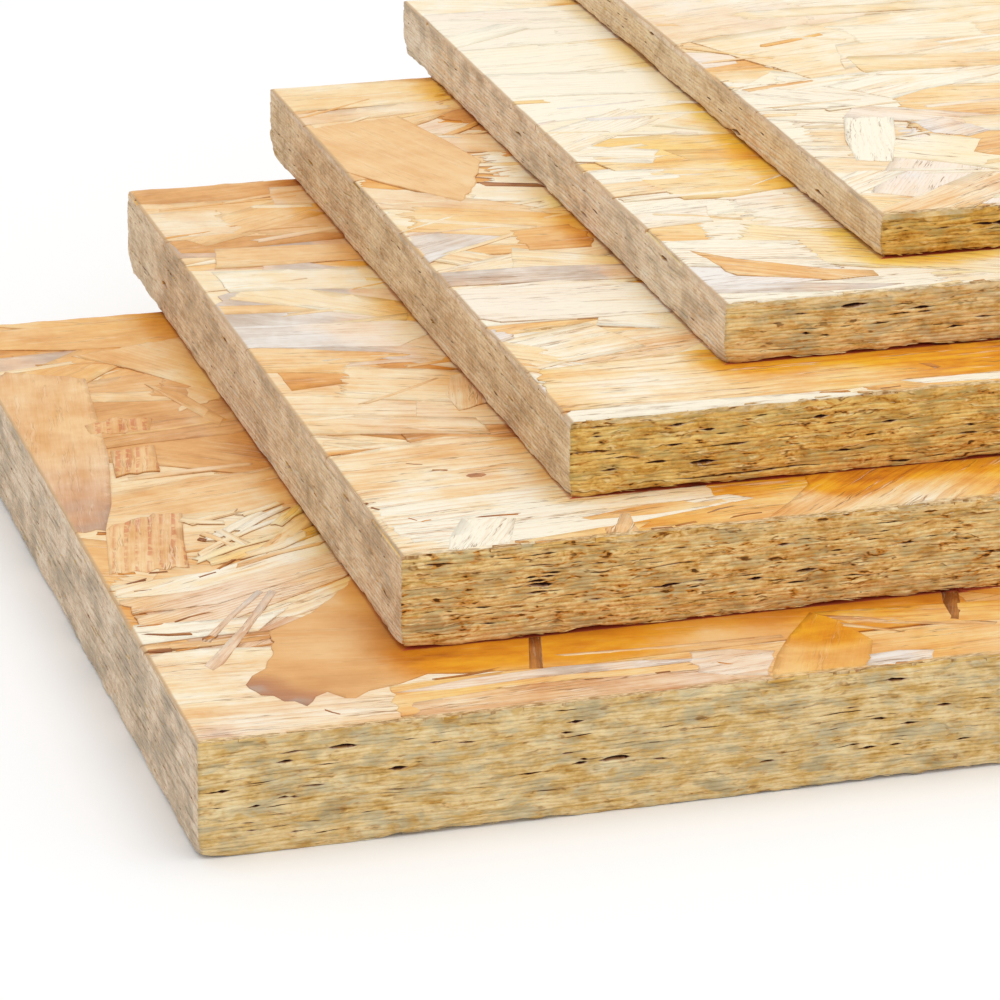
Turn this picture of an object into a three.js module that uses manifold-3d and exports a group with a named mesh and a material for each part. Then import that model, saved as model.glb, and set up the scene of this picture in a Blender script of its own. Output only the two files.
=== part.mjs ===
// A fanned stack of five oriented strand board (OSB) sample panels, thickest at the bottom.
// Millimetres, +Z up. +X runs along the panels' length, which is also the direction of the
// face strands; +Y runs from the front edge to the back edge. The origin is the centre of the
// stack's footprint, on the surface that the stack lies on.
//
// Every panel is pressed and sawn as one piece: a flat slab with square edges. Where strands
// cross, the saw opens lens-shaped pockets in the edges, and where it runs out of the board a
// few face strands break away from the arris and leave chips one strand deep.

import * as THREE from "three";
import { mergeVertices } from "three/addons/utils/BufferGeometryUtils.js";
import Module from "manifold-3d";

const wasm = await Module();
wasm.setup();

// --- Panel sizes -------------------------------------------------------------------------
const PANEL_LENGTH = 300; // sawn length, along X
const PANEL_WIDTH = 220; // sawn width, along Y

const BOTTOM_THICKNESS = 22;
const SECOND_THICKNESS = 18;
const THIRD_THICKNESS = 15;
const FOURTH_THICKNESS = 12;
const TOP_THICKNESS = 9;

// --- How far each panel is pushed to the right and back of the one it lies on -------------
const SECOND_RIGHT = 44;
const SECOND_BACK = 29;
const THIRD_RIGHT = 37;
const THIRD_BACK = 19;
const FOURTH_RIGHT = 37;
const FOURTH_BACK = 21.5;
const TOP_RIGHT = 37.5;
const TOP_BACK = 17.5;

// --- Strands, pockets and chips ----------------------------------------------------------
const STRAND_THICKNESS = 0.7; // also the depth of a chip
const CHIP_LENGTH = 11; // along the arris
const CHIP_WIDTH = 1.6; // how far a chip reaches in from the arris
const CHIP_TAPERS = [0.2, 0.75]; // where along a chip its two torn ends start
const CHIP_NARROWING = 0.7; // width at the second torn end, as a share of the first
const POCKET_LENGTH = 4.2; // along the edge
const POCKET_HEIGHT = 0.9; // at the widest point of the lens
const POCKET_DEPTH = 3.5; // into the board
const POCKETS_PER_METRE = 22; // on every sawn edge
const CHIPS_PER_METRE = 12; // on every lower arris
const SIZE_SPREAD = 0.35; // pockets and chips are up to this share larger or smaller
const PLACE_SPREAD = 0.25; // and sit up to this share of their spacing off the even places
const EDGE_MARGIN = 8; // sound board at each end of an edge
const SKIN = 2 * STRAND_THICKNESS; // sound board between a pocket and the face
const ARC_STEPS = 4; // straight stretches in each side of a lens
const FIRST_SEED = 100; // of the bottom panel's saw marks, and one more for each panel above

// Numbers from 0 to 1 by the Lehmer method, so the saw marks are the same in every build.
const LEHMER_FACTOR = 16807;
const LEHMER_MODULUS = 2147483647;
function repeatableNumbers(seed) {
  let state = seed;
  return () => {
    state = (state * LEHMER_FACTOR) % LEHMER_MODULUS;
    return state / LEHMER_MODULUS;
  };
}

// A number from 1 - spread to 1 + spread.
function nearOne(random, spread) {
  return 1 + spread * (2 * random() - 1);
}

// --- Solids ------------------------------------------------------------------------------
function solidOf(geometry) {
  const bare = geometry.clone();
  bare.deleteAttribute("normal");
  bare.deleteAttribute("uv");
  const merged = mergeVertices(bare, 1e-4);
  return new wasm.Manifold(
    new wasm.Mesh({
      numProp: 3,
      vertProperties: merged.attributes.position.array,
      triVerts: new Uint32Array(merged.index.array),
    }),
  );
}

function geometryOf(solid) {
  const mesh = solid.getMesh();
  const geometry = new THREE.BufferGeometry();
  geometry.setAttribute("position", new THREE.BufferAttribute(mesh.vertProperties, 3));
  geometry.setIndex(new THREE.BufferAttribute(mesh.triVerts, 1));
  const faceted = geometry.toNonIndexed();
  faceted.computeVertexNormals();
  return faceted;
}

function sawnSlab(thickness) {
  const outline = new THREE.Shape();
  outline.moveTo(0, 0);
  outline.lineTo(PANEL_LENGTH, 0);
  outline.lineTo(PANEL_LENGTH, PANEL_WIDTH);
  outline.lineTo(0, PANEL_WIDTH);
  outline.closePath();
  return solidOf(new THREE.ExtrudeGeometry(outline, { depth: thickness, bevelEnabled: false }));
}

// A gap between two crossing strands: a lens that stands in the edge's plane and runs level
// into the board, with as much again outside the edge so that it cuts through.
function pocketCutter(length, height, depth) {
  const lens = new THREE.Shape();
  lens.moveTo(-length / 2, 0);
  lens.quadraticCurveTo(0, -height, length / 2, 0);
  lens.quadraticCurveTo(0, height, -length / 2, 0);
  return new THREE.ExtrudeGeometry(lens, {
    depth: 2 * depth,
    bevelEnabled: false,
    curveSegments: ARC_STEPS,
  })
    .translate(0, 0, -depth)
    .rotateX(-Math.PI / 2);
}

// The place of a face strand that broke away: a flat leaf across the arris, one strand deep,
// that narrows to its torn ends.
function chipCutter(length, width) {
  const leaf = new THREE.Shape();
  leaf.moveTo(0, 0);
  leaf.lineTo(length * CHIP_TAPERS[0], width);
  leaf.lineTo(length * CHIP_TAPERS[1], width * CHIP_NARROWING);
  leaf.lineTo(length, 0);
  leaf.lineTo(length / 2, -width);
  leaf.closePath();
  return new THREE.ExtrudeGeometry(leaf, {
    depth: 2 * STRAND_THICKNESS,
    bevelEnabled: false,
  }).translate(-length / 2, 0, -STRAND_THICKNESS);
}

// The front, right, back and left edges: where each starts, its length, and the turn that
// takes +X along it and +Y into the board.
const EDGES = [
  { start: [0, 0], length: PANEL_LENGTH, turn: 0 },
  { start: [PANEL_LENGTH, 0], length: PANEL_WIDTH, turn: Math.PI / 2 },
  { start: [PANEL_LENGTH, PANEL_WIDTH], length: PANEL_LENGTH, turn: Math.PI },
  { start: [0, PANEL_WIDTH], length: PANEL_WIDTH, turn: -Math.PI / 2 },
];

function placeOnEdge(geometry, edge, along, height) {
  return geometry
    .translate(along, 0, height)
    .rotateZ(edge.turn)
    .translate(edge.start[0], edge.start[1], 0);
}

// Places spread evenly along an edge, each moved at random within its own stretch.
function placesAlong(edge, perMetre, random) {
  const usable = edge.length - 2 * EDGE_MARGIN;
  const count = Math.max(1, Math.round((usable * perMetre) / 1000));
  const middle = (_, i) => EDGE_MARGIN + (usable / count) * (i + nearOne(random, PLACE_SPREAD) / 2);
  return Array.from({ length: count }, middle);
}

function edgePockets(edge, thickness, random) {
  return placesAlong(edge, POCKETS_PER_METRE, random).map((along) => {
    const size = nearOne(random, SIZE_SPREAD);
    const height = SKIN + (thickness - 2 * SKIN) * random();
    const pocket = pocketCutter(POCKET_LENGTH * size, POCKET_HEIGHT * size, POCKET_DEPTH * size);
    return placeOnEdge(pocket, edge, along, height);
  });
}

function edgeChips(edge, random) {
  return placesAlong(edge, CHIPS_PER_METRE, random).map((along) => {
    const size = nearOne(random, SIZE_SPREAD);
    return placeOnEdge(chipCutter(CHIP_LENGTH * size, CHIP_WIDTH * size), edge, along, 0);
  });
}

function panelSolid(thickness, seed) {
  const random = repeatableNumbers(seed);
  const cutters = EDGES.flatMap((edge) => [
    ...edgePockets(edge, thickness, random),
    ...edgeChips(edge, random),
  ]);
  const lost = cutters.map(solidOf).reduce((all, cutter) => all.add(cutter));
  return sawnSlab(thickness).subtract(lost);
}

// --- The stack ---------------------------------------------------------------------------
const PANELS = [
  { name: "bottom_panel", thickness: BOTTOM_THICKNESS, right: 0, back: 0 },
  { name: "second_panel", thickness: SECOND_THICKNESS, right: SECOND_RIGHT, back: SECOND_BACK },
  { name: "third_panel", thickness: THIRD_THICKNESS, right: THIRD_RIGHT, back: THIRD_BACK },
  { name: "fourth_panel", thickness: FOURTH_THICKNESS, right: FOURTH_RIGHT, back: FOURTH_BACK },
  { name: "top_panel", thickness: TOP_THICKNESS, right: TOP_RIGHT, back: TOP_BACK },
];

const strandBoard = new THREE.MeshStandardMaterial({
  name: "strand_board",
  color: new THREE.Color(0.82, 0.62, 0.38),
  roughness: 0.75,
  metalness: 0,
});

const stack = new THREE.Group();
const corner = new THREE.Vector3();
PANELS.forEach(({ name, thickness, right, back }, index) => {
  corner.x += right;
  corner.y += back;
  const panel = new THREE.Mesh(geometryOf(panelSolid(thickness, FIRST_SEED + index)), strandBoard);
  panel.name = name;
  panel.position.copy(corner);
  stack.add(panel);
  corner.z += thickness;
});

// The footprint runs from the bottom panel's front left corner to the top panel's back right.
stack.position.set(-(corner.x + PANEL_LENGTH) / 2, -(corner.y + PANEL_WIDTH) / 2, 0);

export default stack;
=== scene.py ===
"""A fanned stack of five oriented strand board panels, dressed strand by strand.

Each panel gets a core whose sawn edges show the pressed layers with their gaps, a skin of
overlapping strands on both faces, and the splinters that the saw and the press leave.
Shapes are worked out in millimetres from a panel's front left bottom corner, and each piece
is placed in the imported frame, in metres: +X along the face strands, +Y to the back, +Z up.
"""

import math

import bmesh
import bpy
import numpy as np
from mathutils import Matrix, Vector
from mathutils.geometry import delaunay_2d_cdt


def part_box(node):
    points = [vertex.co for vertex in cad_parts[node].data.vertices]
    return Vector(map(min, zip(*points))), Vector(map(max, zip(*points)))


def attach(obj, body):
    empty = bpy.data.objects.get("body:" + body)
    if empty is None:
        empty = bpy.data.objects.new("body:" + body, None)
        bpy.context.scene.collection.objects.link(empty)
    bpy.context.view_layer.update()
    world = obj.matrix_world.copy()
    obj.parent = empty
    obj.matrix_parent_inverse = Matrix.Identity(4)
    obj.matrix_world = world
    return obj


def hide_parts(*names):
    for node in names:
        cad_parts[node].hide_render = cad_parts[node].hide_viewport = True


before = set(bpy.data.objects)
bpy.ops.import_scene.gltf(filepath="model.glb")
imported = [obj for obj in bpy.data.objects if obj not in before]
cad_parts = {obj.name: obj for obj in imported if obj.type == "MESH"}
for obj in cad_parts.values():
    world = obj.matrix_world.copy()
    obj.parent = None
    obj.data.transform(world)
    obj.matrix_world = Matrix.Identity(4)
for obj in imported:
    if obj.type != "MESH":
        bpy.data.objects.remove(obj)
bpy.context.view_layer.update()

MM = 0.001

# --- The panels, from the bottom up --------------------------------------------------------
PANEL_NAMES = ["bottom_panel", "second_panel", "third_panel", "fourth_panel", "top_panel"]
PANEL_WARMTH = [0.26, 0.16, 0.0, -0.27, -0.08]  # the lower panels are the more orange ones: partly their own tone, partly painted warm shade from the panels above
PANEL_HONEY = [0.0, 0.5, 0.95, 0.25, 1.0]  # and how yellow their sawn edges are
PANEL_BROWN = [0.0, -1.3, -0.5, -0.2, 1.4]  # how much darker than usual, on the long sides
PANEL_END_BROWN = [-0.3, -0.6, 0.1, -1.4, -1.0]  # and on the short ones
PANEL_CRISP = [0.45, 1.4, 1.25, 0.7, 0.75]  # how sharply the saw cut them


class Panel:
    """One panel's place and size in millimetres, its colours, and what covers its two faces."""

    def __init__(self, name, seed, warmth, honey, brown, end_brown, crisp):
        low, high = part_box(name)
        self.name = name
        self.seed = seed
        self.warmth = warmth
        self.honey = honey
        self.brown = brown
        self.end_brown = end_brown
        self.crisp = crisp
        self.corner = np.array(low) / MM
        self.length, self.width, self.thickness = (np.array(high) - np.array(low)) / MM
        self.covered = {"top": None, "under": None}


SEED_STEP = 11  # between one panel's random seed and the next
PANELS = [Panel(name, SEED_STEP * (i + 1), PANEL_WARMTH[i], PANEL_HONEY[i], PANEL_BROWN[i],
                PANEL_END_BROWN[i], PANEL_CRISP[i])
          for i, name in enumerate(PANEL_NAMES)]
for lower, upper in zip(PANELS, PANELS[1:]):
    step = (upper.corner - lower.corner)[:2]
    lower.covered["top"] = (step, step + (upper.length, upper.width))
    upper.covered["under"] = (-step, -step + (lower.length, lower.width))

# --- Strand sizes, in millimetres ----------------------------------------------------------
STRAND = 0.75  # thickness of a face strand
SKIN = {"top": 0.75, "under": 0.42}  # from a face down to the core that carries its strands
SANDED = 0.015  # depth of a face's highest strands under the panel's own face
DEEPEST = {"top": 0.45, "under": 0.3}  # and of the lowest that show between them
SAWN_BACK = {"top": (0.02, 0.18), "under": (1.8, 3.2)}  # of the strands from the panel's sides
TORN_BACK = 0.8  # those that the saw tore most, beyond that
HOLLOW_DEPTH = 2.5  # of the gaps between the strands of a front edge
CORNER_WEAR = 1.2  # knocked off the lower corners
CORNER_CUT = 4.5  # and from the underside's strands, along both edges
LAYER = 0.75  # of the pressed layers that a sawn edge shows
ARRIS_WORN = 0.8  # width of the worn strip along the top's four arrises
FINE_COLUMN = 0.85  # spacing along the front and left edges
COARSE_COLUMN = 2.6  # and along the right and back edges

# The press and the saw.
HALF_WAY_DOWN = 0.22  # under the mat's mean level, where a strand lies at half the depth
DEPTH_FADE = 0.14  # and how softly the depth changes there
PROBES = 9  # each way round a place, where a strand feels for what it rests on
RIM_DROP = 0.02  # of a strand's outline below its middle
UNDERSIDE = 5.0  # the rim value of a strand's underside; its walls and underside are painted darker as shade
OUT_OF_SIGHT = 3  # millimetres inside the edges of the panel that covers a face
LEAST_LEFT = 0.3  # strands that reach less than this into the panel fall off
CUT_SNAP = 1e-4  # how near a saw cut a point counts as on it
SHORTEST_EDGE = 0.004  # shorter ones are closed up after a saw cut
WORN_DOWN = (0.16, 0.14)  # mean depth of the worn strip, and how much that varies

# The strands that fill bare places, and the slivers along a top's front arris.
PATCH_LENGTH, PATCH_WIDTH = (40, 80), (14, 26)
SLIVER_SPACING, SLIVER_LENGTH, SLIVER_WIDTH = 3.2, (3, 11), (0.5, 1.7)
SLIVER_SHARE = 0.75  # of the places along the arris that keep theirs
FAN_WIDTH = (1.5, 3.2)  # of the splinters that fan out on the bottom panel

# The sawn edges.
LONG_RUN, SHORT_RUN = 18, 8  # mean length of a strand sawn along and across its grain
CROSSWISE = (0.27, 0.73)  # part of the thickness where the strands lie across the panel
CORE_CRACKS, OUTER_CRACKS = 34, 14  # a metre of each boundary between layers
END_SCALE = 0.55  # of the chance gaps on the short sides against those on the long ones
CORNER_REACH = 4.0  # of the wear on the lower corners, along the edges and upwards
LEAST_LAYER = 0.3  # left over the wavy foot
FOOT = 0.5  # mean height of a core's lower rim
FOOT_WAVES = [(0.55, 12.0), (0.32, 4.0), (0.14, 1.4)]  # height and length of its waves
END_SWING = 0.4  # of the longest of those waves, on the short sides
SWAY, SWAY_LENGTH = 0.5, 25.0  # of all layers together
LAYER_WAVES = [(0.22, 6.0), (0.12, 2.2)]  # height and length of each layer's own waves
SHALLOW, DEEPER = 0.06, 2.2  # least depth of a gap, and how much each millimetre of it adds
WALL = 0.02  # left between a gap and the strand beside it

# The short fibres that hang along the lower front arris.
FIBRE_SPACING = 2.3
FIBRE_LENGTH = (1.2, 5)
FIBRE_RADIUS = (0.07, 0.15)
FIBRE_SAG = (0, 0.6)
FIBRE_BEHIND = (0.32, 0.55)  # the front face's own plane
FIBRE_STATIONS = 7


# --- Small helpers -------------------------------------------------------------------------
def smooth(t):
    """0 to 1 with soft ends."""
    t = np.clip(t, 0.0, 1.0)
    return t * t * (3.0 - 2.0 * t)


def wander(rng, length, cell, values):
    """Smooth random values from -1 to 1 at the places given, with a new one every cell."""
    knots = rng.uniform(-1, 1, int(length / cell) + 4)
    t = np.clip(values, 0, length) / cell
    i = t.astype(int)
    f = smooth(t - i)
    return knots[i] * (1 - f) + knots[i + 1] * f


def linear(red, green, blue):
    """A colour written as screen values from 0 to 255, for a socket."""
    parts = [c / 255 for c in (red, green, blue)]
    return [c / 12.92 if c <= 0.04045 else ((c + 0.055) / 1.055) ** 2.4 for c in parts] + [1.0]


class Shape:
    """Vertices, faces and vertex attributes that grow as solids are added."""

    FLOATS = ("tone", "cool", "rim", "figure", "gap")

    def __init__(self):
        self.points = []
        self.grain = []
        self.values = {name: [] for name in self.FLOATS}
        self.faces = []
        self.flat = []
        self.sawn = []
        self.count = 0

    def add(self, points, faces, flat, sawn, grain=None, **values):
        """Adds a solid: flat and sawn say whether a face is a plane of its own and a saw cut."""
        self.points.append(points)
        self.grain.append(points if grain is None else grain)
        for name in self.FLOATS:
            value = np.broadcast_to(values.get(name, 0.0), len(points))
            self.values[name].append(value)
        self.faces.extend([tuple(int(i) + self.count for i in face) for face in faces])
        self.flat.extend(flat)
        self.sawn.extend(sawn)
        self.count += len(points)

    def piece(self, panel, name, materials, beside=None):
        """Makes one piece of the solids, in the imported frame, riding on the stack.

        beside is the front left corner of the panel above, where one covers this face.
        """
        mesh = bpy.data.meshes.new(f"{panel.name}_{name}")
        place = np.concatenate(self.points)
        mesh.from_pydata((place + panel.corner) * MM, [], self.faces)
        vectors = {"grain": np.concatenate(self.grain), "place": place}
        vectors["beside"] = FAR_AWAY - place if beside is None else (*beside, 0) - place
        for key, values in vectors.items():
            mesh.attributes.new(key, "FLOAT_VECTOR", "POINT")
            mesh.attributes[key].data.foreach_set("vector", np.ravel(values))
        floats = {key: np.concatenate(value) for key, value in self.values.items()}
        floats["crisp"] = np.full(len(place), panel.crisp)
        for key, values in floats.items():
            mesh.attributes.new(key, "FLOAT", "POINT")
            mesh.attributes[key].data.foreach_set("value", values)
        for material in materials:
            mesh.materials.append(material)
        mesh.polygons.foreach_set("use_smooth", ~np.array(self.flat))
        mesh.polygons.foreach_set("material_index", np.array(self.sawn, int))
        mesh.update()
        piece = bpy.data.objects.new(mesh.name, mesh)
        bpy.context.scene.collection.objects.link(piece)
        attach(piece, "root")
        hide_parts(panel.name)


# --- Face strands --------------------------------------------------------------------------
CELL = 1.0  # of the grid that records how a face's strands lie on each other
FAR_AWAY = 1000.0  # further than anything on a panel
MARGIN = 24  # laid beyond a panel's edges, before the saw cuts it out
DRAPE = (7.0, 4.0)  # along and across a strand, between the places where it rests
PRESSED_FLAT = 12  # cells over which the press evens out the mat
WARM_SHADE_REACH = 8.0  # beside the panel above, how far its painted golden shade reaches


def within(outline, u, v):
    """Which places lie inside an outline."""
    inside = np.zeros(u.shape, bool)
    for (u0, v0), (u1, v1) in zip(outline, np.roll(outline, -1, axis=0)):
        if v0 != v1:
            inside ^= ((v0 > v) != (v1 > v)) & (u < u0 + (v - v0) * (u1 - u0) / (v1 - v0))
    return inside


def clearance(outline, points):
    """How far each point is from the nearest side of an outline."""
    run = np.roll(outline, -1, axis=0) - outline
    offset = points[:, None] - outline
    t = np.clip((offset * run).sum(-1) / np.maximum((run ** 2).sum(-1), 1e-9), 0, 1)
    return np.sqrt(((offset - t[..., None] * run) ** 2).sum(-1)).min(1)


def blurred(grid, reach):
    """A grid smoothed over reach cells each way."""
    for axis in (0, 1, 0, 1):
        pad = [(0, 0), (0, 0)]
        pad[axis] = (reach + 1, reach)
        sums = np.cumsum(np.pad(grid, pad, mode="edge"), axis=axis)
        ends = range(2 * reach + 1, sums.shape[axis])
        starts = range(sums.shape[axis] - 2 * reach - 1)
        grid = (np.take(sums, ends, axis) - np.take(sums, starts, axis)) / (2 * reach + 1)
    return grid


def between(grid, i, j):
    """A grid's values at places between its cells."""
    i = np.clip(i, 0, grid.shape[0] - 1.001)
    j = np.clip(j, 0, grid.shape[1] - 1.001)
    a, b = i.astype(int), j.astype(int)
    f, g = i - a, j - b
    near = grid[a, b] * (1 - g) + grid[a, b + 1] * g
    far = grid[a + 1, b] * (1 - g) + grid[a + 1, b + 1] * g
    return near * (1 - f) + far * f


def broken_end(rng, width, length, tear):
    """One end of a strand: places across it, and how far each stops short of its full length."""
    teeth = max(1, int(width / rng.uniform(0.8, 1.7))) if tear > 1 else max(1, int(width / 5))
    across = np.linspace(-0.5, 0.5, 2 * teeth + 1)
    across[1:-1] += rng.uniform(-0.3, 0.3, 2 * teeth - 1) / (2 * teeth)
    short = tear * rng.exponential(0.5, 2 * teeth + 1)
    short[::2] *= 0.25
    short += tear * 1.5 * (1 + wander(rng, 1.0, 0.3, across + 0.5))
    slant = rng.normal(0, 0.3) * width
    short += slant * across + abs(slant) / 2
    return across * width, np.minimum(short, (0.14 + 0.04 * rng.random(len(short))) * length)


class Strand:
    """A flat strand of wood: its outline in its own frame, with u along its grain."""

    def __init__(self, outline, rim, x, y, angle, turn=0.0, tone=0.3, cool=0.0, figure=0.5,
                 step=0.12, thick=STRAND, stains=()):
        self.outline, self.rim = outline, rim
        self.x, self.y, self.angle, self.turn = x, y, angle, turn
        self.tone, self.cool, self.figure = tone, cool, figure
        self.step, self.thick = step, thick
        self.stains = stains  # x, y, radius, how much darker, how much cooler

    def placed(self, u, v):
        """Places on the panel of places in the strand's own frame."""
        c, s = math.cos(self.angle), math.sin(self.angle)
        return self.x + u * c - v * s, self.y + u * s + v * c

    def own(self, x, y):
        """Places in the strand's own frame of places on the panel."""
        c, s = math.cos(self.angle), math.sin(self.angle)
        return (x - self.x) * c + (y - self.y) * s, (y - self.y) * c - (x - self.x) * s


def sliced(rng, x, y, length, width, angle, tear=3.0, taper=0.0, sweep=0.0, **more):
    """A strand as the knife slices it: long wavering sides, clean or splintered ends."""
    stations = max(1, int(length / 14))
    sides = []
    for half in (-1, 1):
        u = np.linspace(-0.5, 0.5, stations + 2)[1:-1] * length * 0.7
        v = half * width / 2 + rng.normal(0, 0.02 * width, stations)
        sides.append(np.column_stack([u, v])[::-half])
    across, short = broken_end(rng, width, length, tear)
    right = np.column_stack([length / 2 - short, across])
    across, short = broken_end(rng, width, length, tear)
    left = np.column_stack([short - length / 2, across])[::-1]
    outline = np.concatenate([sides[0], right, sides[1], left])
    # How dark each side's border is painted: partly dark torn edges, partly painted shade.
    dark = rng.uniform(0.2, 0.85, 2)
    ends = [np.where(np.arange(len(end)) % 2, 0.8, 0.4) for end in (right, left)]
    rim = np.concatenate([np.full(stations, dark[0]), ends[0], np.full(stations, dark[1]), ends[1]])
    u, v = outline.T
    v = v * (1 - taper * (u / length + 0.5)) + sweep * (2 * u / length) ** 2
    return Strand(np.column_stack([u, v]), rim, x, y, angle, **more)


def shaped(rng, corners, grain=0.0, rim=0.6, torn=0.4, **more):
    """A strand of a given outline on the panel, its grain at an angle in degrees to X.

    Its sides waver a little along the grain, and are torn by that many millimetres across it.
    """
    corners = np.array(corners, float)
    ahead = np.roll(corners, -1, axis=0)
    if (corners[:, 0] * ahead[:, 1] - ahead[:, 0] * corners[:, 1]).sum() < 0:
        corners = corners[::-1]
    x, y = corners.mean(axis=0)
    strand = Strand(None, None, x, y, math.radians(grain), **more)
    corners = np.column_stack(strand.own(*corners.T))
    outline = []
    for start, end in zip(corners, np.roll(corners, -1, axis=0)):
        run = end - start
        length = np.hypot(*run)
        across = abs(run[1]) / max(length, 1e-6)
        count = max(1, int(length / (5.0 - 3.8 * across)))
        steps = np.linspace(0, 1, count, endpoint=False)[:, None]
        moved = rng.normal(0, 1, (count, 1)) * (0.08 + torn * across) * np.array([[1.0, 0.3]])
        moved[0] = 0
        outline.append(start + steps * run + moved)
    strand.outline = np.concatenate(outline)
    strand.rim = rim * rng.uniform(0.4, 1.2, len(strand.outline))
    return strand


def crosses_itself(outline):
    """Whether an outline runs across itself or touches itself."""
    ring = [list(range(len(outline)))]
    found = delaunay_2d_cdt([Vector(p) for p in outline], [], ring, 1, 1e-5)[0]
    return len(found) != len(outline)


def splinter(rng, start, end, width, **look):
    """A thin strand between two places, pointed at both ends."""
    run = np.subtract(end, start)
    middle = np.add(start, end) / 2
    length, angle = np.hypot(*run), math.atan2(run[1], run[0])
    return sliced(rng, *middle, length, width, angle, tear=1.0, taper=rng.uniform(-0.6, 0.6),
                  sweep=rng.normal(0, 0.05) * length, figure=0.6, thick=0.5, **look)


class Mat:
    """One face of a panel while its strands are laid over each other, then pressed and sanded."""

    def __init__(self, panel, face):
        self.panel, self.face = panel, face
        self.rng = np.random.default_rng(panel.seed * 100 + (1 if face == "top" else 2))
        self.x = np.arange(-MARGIN, panel.length + MARGIN, CELL)
        self.y = np.arange(-MARGIN, panel.width + MARGIN, CELL)
        self.height = np.zeros((len(self.x), len(self.y)))
        self.owner = np.full(self.height.shape, -1)
        self.strands = []

    def cells(self, x, y):
        """The grid's own coordinates of places on the panel."""
        return (x + MARGIN) / CELL, (y + MARGIN) / CELL

    def lay(self, strand, rng=None):
        """Lays a strand over those already there: it drapes over what it rests on."""
        if crosses_itself(strand.outline):
            return
        low, high = strand.outline.min(axis=0), strand.outline.max(axis=0)
        counts = [max(2, int(math.ceil((high[k] - low[k]) / DRAPE[k])) + 1) for k in (0, 1)]
        us, vs = (np.linspace(low[k], high[k], counts[k]) for k in (0, 1))
        strand.low, strand.pitch = low, (high - low) / (np.array(counts) - 1)
        probe = np.linspace(-1, 1, PROBES)
        u = us[:, None, None, None] + strand.pitch[0] * probe[:, None]
        v = vs[:, None, None] + strand.pitch[1] * probe
        u, v = np.broadcast_arrays(u, v)
        i, j = (np.rint(c).astype(int) for c in self.cells(*strand.placed(u, v)))
        i, j = np.clip(i, 0, len(self.x) - 1), np.clip(j, 0, len(self.y) - 1)
        strand.sheet = self.height[i, j].max(axis=(2, 3)) + strand.step

        x, y = strand.placed(*strand.outline.T)
        (i0, j0), (i1, j1) = (self.cells(f(x), f(y)) for f in (np.min, np.max))
        i0, j0 = max(int(i0), 0), max(int(j0), 0)
        part = np.s_[i0:int(i1) + 2, j0:int(j1) + 2]
        cx, cy = np.meshgrid(self.x[part[0]], self.y[part[1]], indexing="ij")
        u, v = strand.own(cx, cy)
        inside = within(strand.outline, u, v)
        strand.seed = (rng or self.rng).uniform(0, 100)
        self.height[part][inside] = self.sheet_height(strand, u[inside], v[inside])
        self.owner[part][inside] = len(self.strands)
        self.strands.append(strand)

    def sheet_height(self, strand, u, v):
        """How high a draped strand lies, at places in its own frame."""
        return between(strand.sheet, (u - strand.low[0]) / strand.pitch[0],
                       (v - strand.low[1]) / strand.pitch[1])

    def press(self):
        """Presses the mat level, and forgets the strands that nobody can see."""
        self.level = blurred(self.height, PRESSED_FLAT)
        panel = self.panel
        x, y = np.meshgrid(self.x, self.y, indexing="ij")
        seen = (x > -1) & (x < panel.length + 1) & (y > -1) & (y < panel.width + 1)
        cover = panel.covered[self.face]
        if cover is not None:
            (x0, y0), (x1, y1) = cover
            seen &= ~((x > x0 + OUT_OF_SIGHT) & (x < x1 - OUT_OF_SIGHT)
                      & (y > y0 + OUT_OF_SIGHT) & (y < y1 - OUT_OF_SIGHT))
        counts = np.bincount(self.owner[seen & (self.owner >= 0)], minlength=len(self.strands))
        self.strands = [strand for strand, count in zip(self.strands, counts) if count]

    def depth(self, x, y, height):
        """Depth below the face after pressing and sanding: what lay higher stays higher."""
        proud = height - between(self.level, *self.cells(x, y))
        sanded = SANDED / (1 + np.maximum(proud, 0))
        lowness = 1 / (1 + np.exp((proud + HALF_WAY_DOWN) / DEPTH_FADE))
        return sanded + (DEEPEST[self.face] - SANDED) * lowness

    def solid(self, strand):
        """A strand as a closed solid: points with z as depth below the face, and its faces."""
        outline = strand.outline
        count = len(outline)
        ahead, behind = np.roll(outline, -1, axis=0), np.roll(outline, 1, axis=0)
        run = ahead - behind
        inward = np.column_stack([-run[:, 1], run[:, 0]])
        inward /= np.maximum(np.linalg.norm(inward, axis=1), 1e-6)[:, None]
        beside = outline + 0.4 * inward
        finer = 0.4 if strand.stains else 1.0
        u, v = np.meshgrid(*(np.arange(strand.low[k], outline[:, k].max(), DRAPE[k] * finer)
                             for k in (0, 1)))
        middle = np.column_stack([u.ravel(), v.ravel()])
        beside = beside[within(outline, *beside.T) & (clearance(outline, beside) > 0.3)]
        middle = middle[within(outline, *middle.T)]
        middle = middle[clearance(outline, middle) > 1.2] if len(middle) else middle
        for points in (np.concatenate([outline, beside, middle]), outline):
            found, _, triangles, origin, _, _ = delaunay_2d_cdt(
                [Vector(p) for p in points], [], [list(range(count))], 1, 1e-5)
            if len(found) == len(points) and all(len(o) == 1 for o in origin):
                break
        faces = [tuple(origin[i][0] for i in t) for t in triangles]
        flat = [False] * len(faces)

        u, v = points.T
        x, y = strand.placed(u, v)
        z = self.depth(x, y, self.sheet_height(strand, u, v))
        z[:count] += RIM_DROP
        top = np.column_stack([x, y, z])
        bottom = top[:count].copy()
        bottom[:, 2] = z.max() + strand.thick
        low = np.arange(len(points), len(points) + count)
        ring = np.arange(count)
        faces += [(low[i], low[j], j, i) for i, j in zip(ring, np.roll(ring, -1))]
        faces.append(tuple(low[::-1]))
        flat += [True] * (count + 1)

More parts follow.
